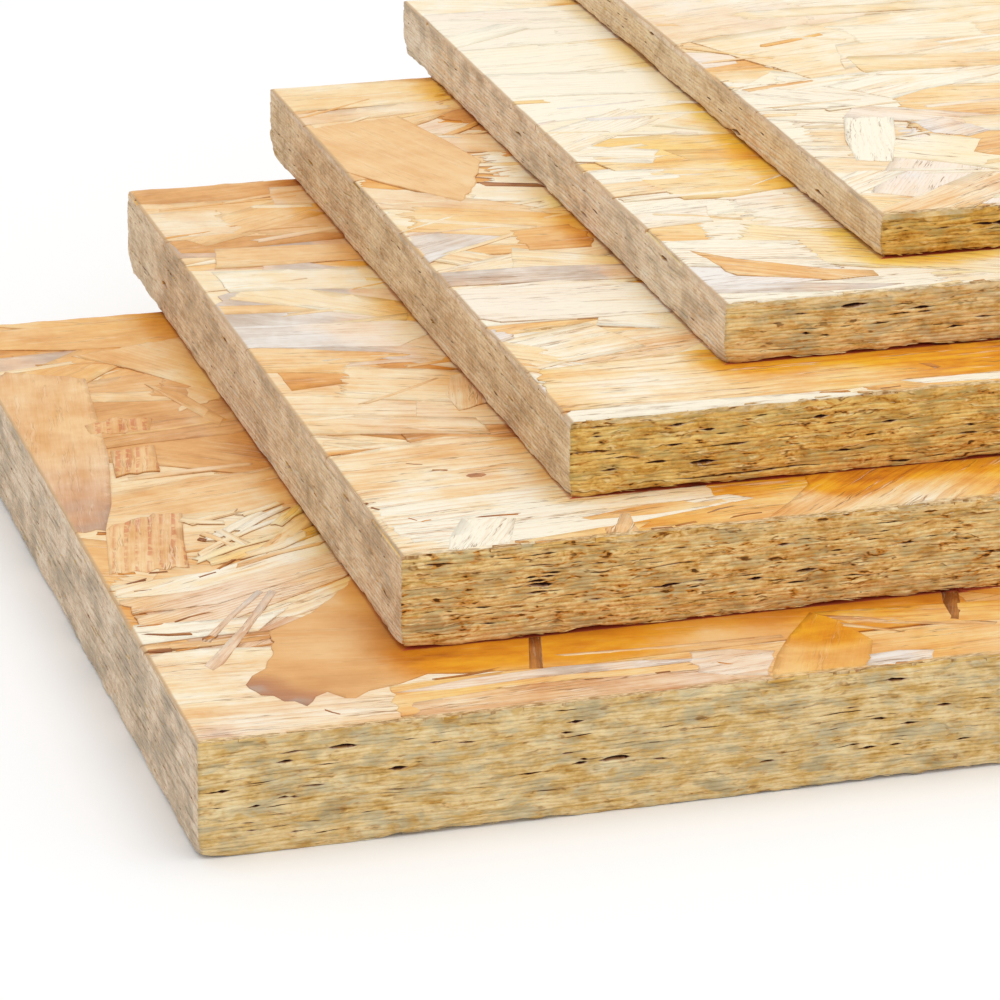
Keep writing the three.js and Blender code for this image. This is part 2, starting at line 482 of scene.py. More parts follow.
        c, s = math.cos(strand.turn), math.sin(strand.turn)
        grain = np.column_stack([u * c + v * s, v * c - u * s, np.full(len(u), strand.seed)])
        grain = np.concatenate([grain, grain[:count]])
        rim = np.zeros(len(points) + count)
        rim[:count] = strand.rim
        rim[-count:] = UNDERSIDE
        return np.concatenate([top, bottom]), faces, flat, grain, rim


# The kinds of wood: a running share of all strands, then the ranges of tone and coolness.
WOODS = [
    (0.4, (-0.05, 0.2), (-0.3, 0.4)),  # cream
    (0.8, (0.15, 0.38), (-0.5, 0.5)),  # honey
    (0.9, (0.38, 0.6), (-0.8, 0.2)),  # orange
    (1.0, (0.05, 0.35), (0.7, 1.0)),  # pinkish to greyish
]
WARMEST = 0.64  # tone of a scattered strand
GOLDEN_DEPTH, GOLDEN_FROM = 26, 30  # the strip behind the front edge, painted more golden as the warm shade near the panel above
GOLDEN = (0.3, 0.9)  # how much less cool it is


def random_look(rng, panel, x, y):
    """A strand's colour: cream to honey, now and then orange, pinkish or greyish."""
    kind = rng.random()
    tones, cools = next(ranges for share, *ranges in WOODS if kind < share)
    tone, cool = rng.uniform(*tones), rng.uniform(*cools)
    # Painted warm shade: strands in the strip near the panel above are made more golden.
    if y < GOLDEN_DEPTH and x > GOLDEN_FROM:
        cool -= rng.uniform(*GOLDEN)
    return {"tone": min(tone + panel.warmth, WARMEST), "cool": cool, "figure": rng.uniform(0, 1)}


# Strands scattered over a face, from the deepest and largest to the splinters on top.
SCATTERED = [
    dict(per_square_metre=2600, length=115, width=33, spread=0.3, tear=5.0, step=0.07),
    dict(per_square_metre=900, length=60, width=13, spread=0.45, tear=5.0, step=0.06),
    dict(per_square_metre=1700, length=24, width=1.5, spread=0.26, tear=2.0, step=0.04),
]


def scatter_strands(mat, per_square_metre, length, width, spread, tear, step):
    """Scatters strands of one kind over a mat."""
    rng, panel = mat.rng, mat.panel
    wide, deep = panel.length + 2 * MARGIN, panel.width + 2 * MARGIN
    for _ in range(int(per_square_metre * wide * deep * 1e-6)):
        x = rng.uniform(-MARGIN, panel.length + MARGIN)
        y = rng.uniform(-MARGIN, panel.width + MARGIN)
        long = length * rng.uniform(0.6, 1.4)
        clean = rng.random() < 0.4
        strand = sliced(rng, x, y, long, width * rng.uniform(0.45, 1.6), rng.normal(0, spread),
                        tear=0.3 if clean else tear * rng.uniform(0.4, 1.5),
                        taper=rng.uniform(0, 0.5), sweep=rng.normal(0, 0.02) * long,
                        turn=rng.normal(0, 0.05), step=step, **random_look(rng, panel, x, y))
        mat.lay(strand)


def cover_bare_places(mat):
    """Lays strands over the places that the scattered ones have missed."""
    panel = mat.panel
    rng = np.random.default_rng(panel.seed)
    ours = mat.owner[MARGIN:-MARGIN, MARGIN:-MARGIN]
    bare = np.argwhere(ours < 0)
    while len(bare):
        x, y = bare[len(bare) // 2] * CELL
        strand = sliced(rng, x, y, rng.uniform(*PATCH_LENGTH), rng.uniform(*PATCH_WIDTH),
                        rng.normal(0, 0.3), tear=3.0, step=0.05, **random_look(rng, panel, x, y))
        mat.lay(strand, rng)
        bare = np.argwhere(ours < 0)


def arris_slivers(mat):
    """Lays the short torn slivers that hang along the front arris of a panel's top."""
    rng, panel = mat.rng, mat.panel
    for x in np.arange(2, panel.length, SLIVER_SPACING):
        long = rng.uniform(*SLIVER_LENGTH)
        strand = sliced(rng, x + rng.normal(0, 3), rng.uniform(-0.3, 1.1), long,
                        rng.uniform(*SLIVER_WIDTH), rng.normal(0, 0.12), tear=1.2,
                        taper=rng.uniform(0, 0.7), tone=rng.uniform(0.15, 0.75),
                        cool=rng.uniform(-0.9, 0.3), figure=rng.random(), step=0.05, thick=0.5)
        if rng.random() < SLIVER_SHARE:
            mat.lay(strand)


def sawn_off(panel, face, inset, points, faces, flat, grain, rim):
    """A strand as the saw leaves it, or None where nothing sound is left of it.

    It is cut square where it runs past the panel's edges, and worn down along a top's arrises.
    """
    planes = [((-1, 0), -inset), ((1, 0), panel.length - inset),
              ((0, -1), -inset), ((0, 1), panel.width - inset)]
    if face == "under":
        worn = math.sqrt(0.5)
        planes += [((-worn, -worn), -CORNER_CUT * worn),
                   ((worn, -worn), (panel.length - CORNER_CUT) * worn)]
    crossed = []
    for way, limit in planes:
        reach = points[:, :2] @ np.array(way) - limit
        if reach.min() > -LEAST_LEFT:
            return None
        if reach.max() > 0:
            crossed.append((way, limit))
    if not crossed:
        return points, faces, flat, [False] * len(faces), grain, rim
    solid = bmesh.new()
    grain_layer = solid.verts.layers.float_vector.new("grain")
    rim_layer = solid.verts.layers.float.new("rim")
    for point, along, value in zip(points, grain, rim):
        vertex = solid.verts.new(point)
        vertex[grain_layer] = along
        vertex[rim_layer] = value
    solid.verts.ensure_lookup_table()
    for corners, is_flat in zip(faces, flat):
        solid.faces.new([solid.verts[i] for i in corners]).smooth = not is_flat
    for way, limit in crossed:
        everything = solid.verts[:] + solid.edges[:] + solid.faces[:]
        bmesh.ops.bisect_plane(solid, geom=everything, dist=CUT_SNAP, clear_outer=True,
                               plane_co=(way[0] * limit, way[1] * limit, 0),
                               plane_no=(way[0], way[1], 0))
        open_edges = [e for e in solid.edges if e.is_boundary]
        for new in bmesh.ops.holes_fill(solid, edges=open_edges, sides=0)["faces"]:
            new.smooth = False
            new.material_index = 1
        if face == "top":
            everything = solid.verts[:] + solid.edges[:] + solid.faces[:]
            limit -= ARRIS_WORN
            bmesh.ops.bisect_plane(solid, geom=everything, dist=CUT_SNAP,
                                   plane_co=(way[0] * limit, way[1] * limit, 0),
                                   plane_no=(way[0], way[1], 0))
    bmesh.ops.dissolve_degenerate(solid, dist=SHORTEST_EDGE, edges=solid.edges)
    solid.verts.index_update()
    kept = (np.array([v.co[:] for v in solid.verts]),
            [tuple(v.index for v in f.verts) for f in solid.faces],
            [not f.smooth for f in solid.faces],
            [f.material_index == 1 for f in solid.faces],
            np.array([v[grain_layer][:] for v in solid.verts]),
            np.array([v[rim_layer] for v in solid.verts]))
    closed = all(e.is_manifold for e in solid.edges)
    solid.free()
    if face == "top":
        points = kept[0]
        mean, varies = WORN_DOWN
        for way, limit in crossed:
            left = limit - points[:, :2] @ np.array(way)
            along = points[:, 1] if way[0] else points[:, 0]
            chance = np.random.default_rng(panel.seed)
            worn = mean + varies * wander(chance, panel.length, 2.7, along)
            points[:, 2] += worn * np.clip(1 - left / ARRIS_WORN, 0, 1)
    return kept if len(kept[1]) > 3 and closed else None


def face_skin(panel, face, materials):
    """Makes one piece of all the strands of a panel's top or underside."""
    mat = Mat(panel, face)
    for kind in SCATTERED:
        scatter_strands(mat, **kind)
    cover_bare_places(mat)
    if face == "top":
        for corners, own in PLACED[panel.name]:
            mat.lay(shaped(mat.rng, corners, **own))
        if panel.name == "bottom_panel":
            for start, end in FAN:
                mat.lay(splinter(mat.rng, start, end, width=mat.rng.uniform(*FAN_WIDTH),
                                 step=0.14, tone=mat.rng.uniform(-0.05, 0.42),
                                 cool=mat.rng.uniform(-0.7, 0.2)))
        for start, end, width in CREVICES.get(panel.name, ()):
            mat.lay(splinter(mat.rng, start, end, width, step=0.02,
                             tone=mat.rng.uniform(0.75, 1.05), cool=mat.rng.uniform(-1.0, -0.3)))
        arris_slivers(mat)
    mat.press()
    shape = Shape()
    for strand in mat.strands:
        inset = mat.rng.uniform(*SAWN_BACK[face]) + TORN_BACK * mat.rng.random() ** 4
        kept = sawn_off(panel, face, inset, *mat.solid(strand))
        if kept is None:
            continue
        points, faces, flat, sawn, grain, rim = kept
        tone, cool = strand.tone, strand.cool
        for x, y, radius, darker, cooler in strand.stains:
            near = smooth(1 - np.hypot(points[:, 0] - x, points[:, 1] - y) / radius)
            tone, cool = tone + darker * near, cool + cooler * near
        if face == "top":
            points[:, 2] = panel.thickness - points[:, 2]
        else:
            faces = [corners[::-1] for corners in faces]
        shape.add(points, faces, flat, sawn, grain, rim=rim, tone=tone, cool=cool,
                  figure=strand.figure)
    above = panel.covered["top"][0] if face == "top" and panel.covered["top"] else None
    shape.piece(panel, f"{face}_strands", materials, beside=above)


# --- Strands that make each panel's own pattern ---------------------------------------------
# Each has its outline in millimetres from the panel's front left corner, and its look. A grain
# angle is in degrees to the panel's length.
PINK, BEIGE, PLAIN = 0.55, 0.8, 0.0
HATCH = 78  # the grain of the short hatched strands on the bottom panel

BOTTOM_PATTERN = [
    ([(-2, 216), (60, 214), (60, 196), (20, 200), (-2, 206)],
     dict(grain=2, tone=0.42, cool=-0.4, figure=0.3)),
    ([(20, 196), (60, 205), (66, 190), (50, 168), (34, 158), (40, 172), (30, 186)],
     dict(grain=-55, tone=0.3, cool=0.0, figure=0.3, stains=[(26, 191, 16, 0.22, -0.3)])),
    ([(-2, 99), (6, 99), (10, 112), (15, 137), (20, 182), (5, 190), (-2, 180)],
     dict(grain=81, tone=0.49, cool=0.45, figure=-0.1, step=0.2, torn=0.25,
          stains=[(10, 104, 30, 0.14, 0.5)])),
    ([(14, 155), (20, 158), (28, 156), (26, 149), (14, 150)],
     dict(grain=HATCH, tone=0.54, cool=0.1, figure=2.0, step=0.1, rim=0.3)),
    ([(16, 140), (25, 141), (23, 127), (14, 126)],
     dict(grain=HATCH, tone=0.54, cool=0.1, figure=2.0, step=0.08, rim=0.3)),
    ([(6, 99), (14, 104), (22, 104), (19, 90), (17, 77), (14.5, 78.2), (13, 76.8), (11, 78),
      (9, 76.6), (7, 78), (5, 76.8), (3.5, 78), (2, 77.5)],
     dict(grain=HATCH, tone=0.46, cool=0.2, figure=2.0, step=0.18, rim=0.9)),
    ([(31, 176), (37, 169), (42, 152), (40, 148), (36, 160)],
     dict(grain=-68, tone=0.5, cool=PLAIN, figure=0.4)),
    ([(1, 72), (20, 74), (46, 88), (60, 96), (48, 79), (18, 65), (1, 66)],
     dict(grain=22, tone=0.12, cool=PLAIN, figure=0.8, step=0.1)),
    ([(1, 65), (16, 66), (47, 79), (60, 84), (58, 78), (48, 73), (18, 59), (2, 58)],
     dict(grain=19, tone=0.3, cool=PINK, figure=0.9, step=0.12)),
    ([(2, 57), (18, 58.5), (46, 72), (56, 76), (43, 65), (18, 51), (2, 52)],
     dict(grain=21, tone=0.32, cool=PINK, figure=0.95, step=0.12)),
    ([(20, 51), (32, 57), (44, 65), (52, 66), (40, 55), (30, 50)],
     dict(grain=24, tone=0.14, cool=PLAIN, figure=0.7, step=0.08)),
    ([(-2, 48), (1, 53), (23, 51), (30, 54), (22, 45), (11, 45), (-2, 44)],
     dict(grain=3, tone=-0.14, cool=PLAIN, figure=0.2, step=0.12,
          stains=[(19.5, 48, 8, 0.45, 0.5)])),
    ([(-1, 43.5), (12, 43), (24, 44.5), (30, 48), (23, 41), (10, 40.5), (-1, 41)],
     dict(grain=4, tone=0.5, cool=0.1, figure=0.9, rim=1.0)),
    ([(-3, 39), (10, 39.5), (24, 37), (60, 27), (78, 14), (60, 10), (42, 8), (38, -3), (-3, -3)],
     dict(grain=-3, tone=0.27, cool=0.35, figure=0.3, step=0.1, rim=0.4,
          stains=[(4, 3, 7, 0.3, 0.6), (25, 16, 10, 0.08, 0.1), (14, 6, 12, -0.12, 0.1)])),
    ([(38, 15), (80, 17), (120, 16), (160, 16), (170, 6), (170, -3), (60, -3), (36, -3)],
     dict(grain=2, tone=0.34, cool=-0.6, figure=0.7, step=0.12, rim=0.2)),
    ([(40, 7), (62, 9.5), (104, 7), (104, -3), (40, -3)],
     dict(grain=3, tone=0.48, cool=0.55, figure=0.8, step=0.06, rim=0.3)),
    ([(14, 22), (16, 25.5), (19, 28), (22, 34), (24, 44), (33, 50), (42, 60), (50, 74), (90, 74),
      (120, 40), (150, 30), (150, 17), (100, 16), (70, 15), (52, 17), (46, 18.6), (40, 15.5),
      (34, 14), (31, 11.5), (29.3, 12), (27, 15.5), (24.5, 14), (22, 10.4), (20.5, 13),
      (18.7, 13.4), (17.6, 16.2), (15.5, 17)],
     dict(grain=-8, tone=0.59, cool=0.0, figure=-0.4, step=0.18, rim=0.8, torn=0.12,
          stains=[(15, 20, 9, 0.36, 0.9), (21, 12, 9, 0.36, 0.9), (28, 20, 14, 0.06, 0.2),
                  (36, 15, 8, 0.0, 0.2), (30, 34, 12, -0.08, 0.1), (48, 22, 14, 0.04, -1.3),
                  (44, 54, 12, -0.2, -0.2), (60, 26, 18, -0.14, -1.6), (78, 20, 22, -0.08, -1.4),
                  (99, 24, 18, -0.25, -0.45),
                  (125, 20, 26, -0.06, -1.3), (146, 20, 16, 0.04, -1.2)])),
    ([(9, 32), (20, 48), (28.5, 62.5), (29.7, 61.5), (22.5, 49), (12.5, 32), (10, 29.5)],
     dict(grain=57, tone=0.4, cool=BEIGE, figure=0.6, step=0.2, thick=0.5)),
    ([(11, 42.5), (18.5, 53), (26.3, 63), (27.3, 62), (20, 53), (12.5, 41.8)],
     dict(grain=54, tone=0.38, cool=BEIGE, figure=0.4, step=0.15, thick=0.5)),
    ([(121, 27), (170, 22), (170, 14), (150, 15), (126, 20)],
     dict(grain=-8, tone=0.38, cool=-0.9, figure=0.9, step=0.06, rim=0.3)),
    ([(93.5, 15.5), (101, 14.8), (108.4, 12.1), (103.4, 2), (97, 4), (92, 6.4)],
     dict(grain=4, tone=0.2, cool=0.6, figure=0.4, step=0.08, rim=0.3)),
    ([(120.6, 27), (124, 23), (127, 12), (124, 5), (120.5, -2), (103, -2), (105, 4), (108, 10),
      (113.4, 18)],
     dict(grain=64, tone=0.44, cool=-0.9, figure=-0.35, step=0.05, rim=0.0, torn=0.2,
          stains=[(118, 20, 11, 0.12, -0.8), (122, 16, 7, 0.1, -0.4), (108, 2, 10, -0.12, 0.2)])),
    ([(124, 6), (130, 6.5), (136, 5), (133, -2), (121, -2)],
     dict(grain=2, tone=-0.02, cool=1.0, figure=0.3, step=0.1, rim=0.3)),
    ([(121.5, 25.5), (134, 20.5), (152, 14), (151, 13), (132, 18.5), (121, 24)],
     dict(grain=-20, tone=0.44, cool=-0.5, figure=0.5, step=0.06, thick=0.4)),
    ([(123, 22), (133, 15), (134, 14), (122.5, 20)],
     dict(grain=-34, tone=0.5, cool=-0.4, figure=0.5, step=0.06, thick=0.4)),
    ([(70, 20.5), (92, 19.2), (112, 18.6), (112, 17.2), (90, 17.8), (70, 19.5)],
     dict(grain=-3, tone=0.5, cool=0.0, figure=0.9, step=0.05, thick=0.4, rim=1.0)),
    ([(38, 11.8), (52, 14.4), (68, 15.4), (84, 14.2), (98, 11.6), (84, 11.2), (66, 11.8),
      (48, 10.8)],
     dict(grain=2, tone=0.3, cool=0.9, figure=0.7, step=0.06, rim=0.4)),
    ([(147.4, 30), (150.8, 30), (146, 16.2), (143.6, 17.4)],
     dict(grain=66, tone=0.92, cool=-0.6, figure=-0.2, step=0.4, torn=0.05)),
    ([(67.8, 29), (70, 28.9), (66.2, 15.4), (63.8, 15.8)],
     dict(grain=76, tone=0.86, cool=-0.6, figure=-0.2, step=0.4, torn=0.05)),
]
# Cream and honey splinters that fan out beside the lower hatched strand: both ends of each.
FAN = [((20, 77), (47, 89.6)), ((24, 76), (46, 84)), ((16.5, 80), (39.6, 91)),
       ((18, 82), (40.5, 98.8)), ((30, 80), (45, 95)), ((22, 88), (38, 102)), ((28, 91), (43, 104)),
       ((31, 99), (43, 105)), ((20, 98), (34, 103)), ((34, 84), (46, 97)), ((19, 101), (30, 96)),
       ((22.6, 94.6), (28.3, 83.7)), ((25.9, 95.3), (30.7, 83.5)), ((27, 78), (44, 88)),
       ((36, 92), (46, 103))]
SECOND_PATTERN = [
    ([(-2, 50), (24, 56), (46, 50), (66, 36), (66, 8), (40, -3), (-2, -3)],
     dict(grain=2, tone=0.26, cool=0.0, figure=0.8, step=0.14, rim=0.3,
          stains=[(14, 12, 26, -0.22, 0.1), (34, 18, 20, -0.14, 0.1), (8, 26, 14, -0.1, 0.1),
                  (25.2, 35.2, 4.5, 0.3, 0.7)])),
    ([(38, 24), (88, 24), (80, 8), (70, -3), (36, -3)],
     dict(grain=3, tone=0.36, cool=-0.9, figure=0.9, step=0.06, rim=0.2)),
    ([(22.2, 35.2), (23, 36), (24.6, 36.2), (26, 35.6), (26.2, 34.8), (25, 34.1), (23, 34.2)],
     dict(grain=20, tone=0.8, cool=0.7, figure=-0.5, step=0.03, thick=0.4, rim=0.5,
          stains=[(24, 35.2, 1.6, 0.4, -0.4)])),
    ([(-2, 127), (34, 122), (42, 116), (30, 107), (-2, 114)],
     dict(grain=-8, tone=0.14, cool=0.8, figure=0.3, step=0.08, rim=0.2)),
    ([(35, 88), (41, 90), (44, 76), (38, 72), (31, 69), (31, 78)],
     dict(grain=75, tone=0.3, cool=PINK, figure=0.3, step=0.12)),
    ([(84, 24), (82, 15), (76, 8), (66, -2), (92, -3), (125, -3), (140, 24), (110, 27)],
     dict(grain=40, tone=0.42, cool=-0.8, figure=0.7, step=0.1, rim=0.2,
          stains=[(88, 15, 11, 0.16, -1.8), (99, 20, 14, 0.06, -1.2), (122, 18, 16, 0.1, -0.8),
                  (84, 2, 14, -0.14, 0.4), (100, 0, 15, -0.24, 0.6)])),
    ([(2, 24), (30, 26), (60, 28), (60, 19), (30, 16), (2, 13)],
     dict(grain=2, tone=0.0, cool=PLAIN, figure=0.8, step=0.06, rim=0.3)),
    ([(2, 15), (30, 17), (64, 20), (64, 12), (30, 9), (4, 6)],
     dict(grain=2, tone=-0.04, cool=0.2, figure=0.9, step=0.06, rim=0.3)),
    ([(20, 10), (46, 12), (66, 14), (70, 11), (52, 7), (34, 3), (22, 2)],
     dict(grain=3, tone=-0.1, cool=PLAIN, figure=0.6, step=0.06, rim=0.3)),
    ([(36, 10), (50, 13), (64, 13.4), (66, 10), (50, 8.2), (38, 8.4)],
     dict(grain=3, tone=0.28, cool=-0.6, figure=0.9, step=0.05, rim=0.2)),
    ([(22, 2), (38, 4.5), (48, 5), (40, -2), (22, -2)],
     dict(grain=3, tone=0.36, cool=-0.6, figure=0.9, step=0.05)),
    ([(8, -2), (11, 7), (15.6, 15.2), (25, 12.7), (22, 5), (19, -2)],
     dict(grain=57, tone=-0.14, cool=0.12, figure=0.1, step=0.16, rim=0.2)),
    ([(38, -1), (39, 4), (41.5, 5), (44, 10), (45.6, 9.6), (44.8, 5), (44.5, -1)],
     dict(grain=62, tone=0.42, cool=0.4, figure=0.3, step=0.2, thick=0.5, rim=0.5)),
]
THIRD_PATTERN = [
    ([(-2, 187), (12, 190), (22, 192), (27, 172), (30, 156), (24, 140), (18, 130), (5, 148),
      (-2, 160)],
     dict(grain=-70, tone=0.44, cool=0.1, figure=-0.2, step=0.1, rim=0.0)),
    ([(22, 109), (35, 110), (37, 100), (35, 95), (22, 96)],
     dict(grain=0, tone=0.46, cool=-0.4, figure=0.4, step=0.08, rim=0.3)),
    ([(25, 142), (37, 138), (38, 135), (26, 139)],
     dict(grain=-18, tone=0.95, cool=0.6, figure=0.4, step=0.05)),
    ([(-2, 87), (20, 86), (38, 83), (38, 74), (20, 77), (-2, 79)],
     dict(grain=-4, tone=0.26, cool=1.0, figure=0.4, step=0.1, rim=0.5)),
    ([(-1, 76), (22, 77), (40, 70), (40, 53), (20, 54), (4, 56), (-1, 60)],
     dict(grain=-6, tone=-0.05, cool=0.6, figure=0.2, step=0.12, rim=0.5)),
    ([(-2, 6), (3, 28), (35, 31), (92, 21), (140, 19), (140, 4), (86, 4), (38, 4)],
     dict(grain=-1, tone=0.43, cool=-0.95, figure=0.75, step=0.08, rim=0.3,
          stains=[(20, 18, 32, -0.4, 0.75), (52, 6, 28, -0.16, 0.2), (66, 22, 14, 0.04, -0.6),
                  (104, 14, 44, 0.12, -0.7), (44, 24, 14, 0.06, -0.5)])),
    ([(72.5, 13.5), (75.2, 13), (77, 9.4), (74.8, 8.8)],
     dict(grain=-40, tone=0.7, cool=-0.6, figure=0.4, step=0.04, thick=0.4)),
    ([(-2, 0), (2, 5.5), (30, 4.8), (44, 3.8), (55, 1.6), (58, -2), (-2, -2)],
     dict(grain=0, tone=-0.4, cool=PLAIN, figure=0.0, step=0.1, rim=0.2)),
    ([(66, 5.5), (86, 5.5), (120, 5), (120, 2), (85, 1.5), (70, 2.8)],
     dict(grain=0, tone=-0.12, cool=PLAIN, figure=0.2, step=0.08, rim=0.2)),
]
FOURTH_PATTERN = [
    ([(4, 32), (11, 25), (26, 15), (34, 12), (34, 9), (24, 9), (8, 16)],
     dict(grain=-33, tone=0.4, cool=-0.4, figure=0.8, step=0.12)),
    ([(-2, 7), (1, 6.6), (13, 4.2), (22, 2.6), (22, -2), (-2, -2)],
     dict(grain=-6, tone=-0.2, cool=PLAIN, figure=0.2, step=0.1, rim=0.2)),
    ([(-2, 11), (8, 10.4), (19, 8.6), (28, 5.6), (37, 3.2), (30, 2), (13, 4), (1, 6.4),
      (-2, 6.8)],
     dict(grain=-8, tone=0.3, cool=1.0, figure=0.3, step=0.12, torn=0.15)),
]
TOP_PATTERN = [
    ([(16, 62), (26, 60), (21, 46), (15, 32), (8, 34), (11, 48)],
     dict(grain=70, tone=-0.2, cool=PLAIN, figure=-0.1, rim=0.2)),
    ([(28, 56), (36, 58), (42, 47), (36, 44), (30, 48)],
     dict(grain=24, tone=0.2, cool=1.0, figure=0.3, rim=0.3)),
    ([(33, 34), (38, 42), (48, 44), (46, 34), (38, 30)],
     dict(grain=10, tone=0.45, cool=-0.3, figure=0.4, rim=0.3)),
]
# Brown crevices torn between the strands: both ends and the width of each.
CREVICES = {
    "bottom_panel": [
        ((3, 77.3), (7.5, 76.8), 0.7), ((8.5, 76.4), (13.4, 76), 0.6),
        ((2, 71.1), (8.8, 73.7), 0.9), ((3.4, 68.2), (9, 68.4), 1.2), ((8, 68.3), (15.3, 71), 0.8),
        ((16.8, 71.6), (22, 74), 0.6), ((21, 74), (26.7, 79.5), 0.6), ((0.5, 52.1), (7.5, 52.1), 0.8),
        ((7, 52.2), (16.2, 56), 0.6), ((0.2, 48.4), (11.9, 45.8), 0.7), ((0, 41), (6, 40.2), 1.3),
        ((5, 39.3), (10.6, 40.3), 1.0), ((11.4, 43.1), (14, 44.7), 1.1),
        ((21.6, 90.8), (23.5, 89), 1.0), ((26.4, 93.5), (28.9, 86.1), 0.5),
        ((3.8, 98.1), (6.2, 97.4), 1.3), ((3.4, 62.4), (5.6, 63.2), 0.6),
        ((7.4, 60.7), (9.2, 61.2), 0.6), ((5.5, 57), (8.8, 56.1), 0.5),
        ((12, 64), (13.4, 64.6), 0.6), ((44, 15.2), (60, 17), 0.5), ((70, 9), (76, 8.2), 0.5),
        ((24, 8.5), (27, 5), 0.4), ((84, 8), (88, 8.2), 1.0), ((96, 10), (101, 7), 0.5)],
    "second_panel": [
        ((0, 26.5), (4.6, 26.8), 0.9), ((0.5, 25), (4.5, 20.7), 0.7), ((4.3, 20.8), (8, 15.4), 0.6),
        ((7.6, 15.4), (10.6, 16.2), 0.5), ((5, 45.4), (12.6, 44.5), 0.5),
        ((12.4, 44.6), (17, 42.2), 0.7), ((16.5, 40), (20.4, 38.8), 0.8),
        ((0.8, 36.6), (4.9, 33.4), 0.7), ((17.5, 15.2), (27.7, 14.5), 0.5),
        ((23.2, 6.1), (30, 6.6), 0.6), ((21, 2), (24.5, 1.2), 1.0), ((25, 1.2), (31, 1.5), 0.9),
        ((30, 0.9), (37, 0.8), 0.7), ((36, 0.8), (43.5, 1), 0.8), ((46, 1.4), (52, 1), 0.8),
        ((51, 1.6), (57, 3), 0.6), ((58, 6), (66, 9), 0.5), ((62, 3.4), (70, 4.2), 0.6)],
    "third_panel": [
        ((9, 5.8), (15, 5.6), 0.5), ((22, 5.6), (30, 5.4), 0.4), ((40, 3.2), (47, 3), 0.5),
        ((48, 3), (56, 2.6), 0.7), ((55, 3.6), (62, 3.2), 0.6), ((60, 2.2), (66, 2.4), 0.5)],
}
PLACED = dict(zip(PANEL_NAMES, [BOTTOM_PATTERN, SECOND_PATTERN, THIRD_PATTERN, FOURTH_PATTERN,
                                TOP_PATTERN]))


# --- Sawn edges ----------------------------------------------------------------------------
EDGE_CLEAR = 0.9  # least distance of a pocket's floor from the edge's plane and the faces
DEEPEST_POCKET = 7  # and its greatest from the edge's plane
CORNER_CLEAR = 5  # least distance from the panel's corners


def cad_pockets(panel):
    """The pockets in a node's sawn edges: side, place along it, height, length, opening, depth."""
    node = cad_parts[panel.name]
    co = np.empty(len(node.data.vertices) * 3)
    node.data.vertices.foreach_get("co", co)
    x, y, z = (co.reshape(-1, 3) / MM - panel.corner).T
    inward = [y, panel.length - x, panel.width - y, x]
    along = [x, y, panel.length - x, panel.width - y]
    lengths = [panel.length, panel.width, panel.length, panel.width]
    found = []
    for side in range(4):
        inside = (inward[side] > EDGE_CLEAR) & (inward[side] < DEEPEST_POCKET)
        inside &= (z > EDGE_CLEAR) & (z < panel.thickness - EDGE_CLEAR)
        inside &= (along[side] > CORNER_CLEAR) & (along[side] < lengths[side] - CORNER_CLEAR)
        depths = np.round(inward[side], 2)
        for depth in np.unique(depths[inside]):
            mine = inside & (depths == depth)
            place, height = along[side][mine], z[mine]
            found.append((side, place.mean(), height.mean(), np.ptp(place), np.ptp(height), depth))
    return found


# Hollows between the strands of the front edges: place along it, height, length, opening.
HOLLOWS = {
    "bottom_panel": [(15.5, 16.4, 2.6, 0.7), (20.5, 11.5, 4.6, 0.5), (15.1, 10.2, 1.6, 0.6),
                     (17.0, 10.0, 1.2, 0.5), (35.5, 12.9, 3.0, 1.1), (48.0, 16.3, 2.8, 0.6),
                     (42.0, 17.3, 1.4, 0.6), (9.0, 5.9, 1.7, 0.4), (9.6, 4.3, 1.4, 0.5),
                     (17.4, 3.7, 2.0, 0.4), (35.3, 9.4, 3.4, 0.4), (17.2, 18.2, 5.0, 0.3),
                     (83.3, 9.1, 2.4, 0.5), (136.5, 13.0, 2.4, 0.7), (66.0, 12.0, 2.4, 0.4),
                     (103.0, 6.5, 3.0, 0.5), (119.0, 15.0, 2.0, 0.4)],
    "second_panel": [(27.6, 11.3, 2.6, 0.6), (25.2, 8.7, 4.4, 0.5), (48.6, 7.0, 2.4, 0.5),
                     (36.4, 6.1, 2.2, 0.4), (37.0, 12.9, 2.6, 0.4), (50.0, 11.4, 6.5, 0.4),
                     (56.2, 7.4, 1.9, 0.4), (52.1, 14.3, 2.2, 0.4), (7.1, 16.1, 6.4, 0.4),
                     (25.8, 13.7, 6.8, 0.25), (72.0, 13.0, 2.4, 0.5), (88.0, 5.5, 3.6, 0.4),
                     (96.0, 10.8, 2.6, 0.5)],
    "third_panel": [(5.8, 13.2, 6.4, 0.35), (20.7, 12.6, 2.4, 0.7), (32.1, 7.8, 5.4, 0.6),
                    (4.4, 8.7, 7.3, 0.5), (10.0, 6.8, 3.0, 0.4), (7.8, 5.0, 3.0, 0.5),
                    (34.7, 1.5, 29.0, 0.45), (48.5, 11.5, 2.6, 1.0), (5.4, 11.6, 1.4, 0.4),
                    (27.1, 4.1, 4.0, 0.3), (41.0, 10.6, 4.0, 0.35), (62.0, 9.0, 3.0, 0.5)],
    "fourth_panel": [(15.0, 9.0, 3.0, 0.4), (40.0, 7.5, 2.6, 0.5), (52.0, 5.0, 3.0, 0.4)],
    "top_panel": [(13.0, 5.4, 2.4, 0.6)],
}


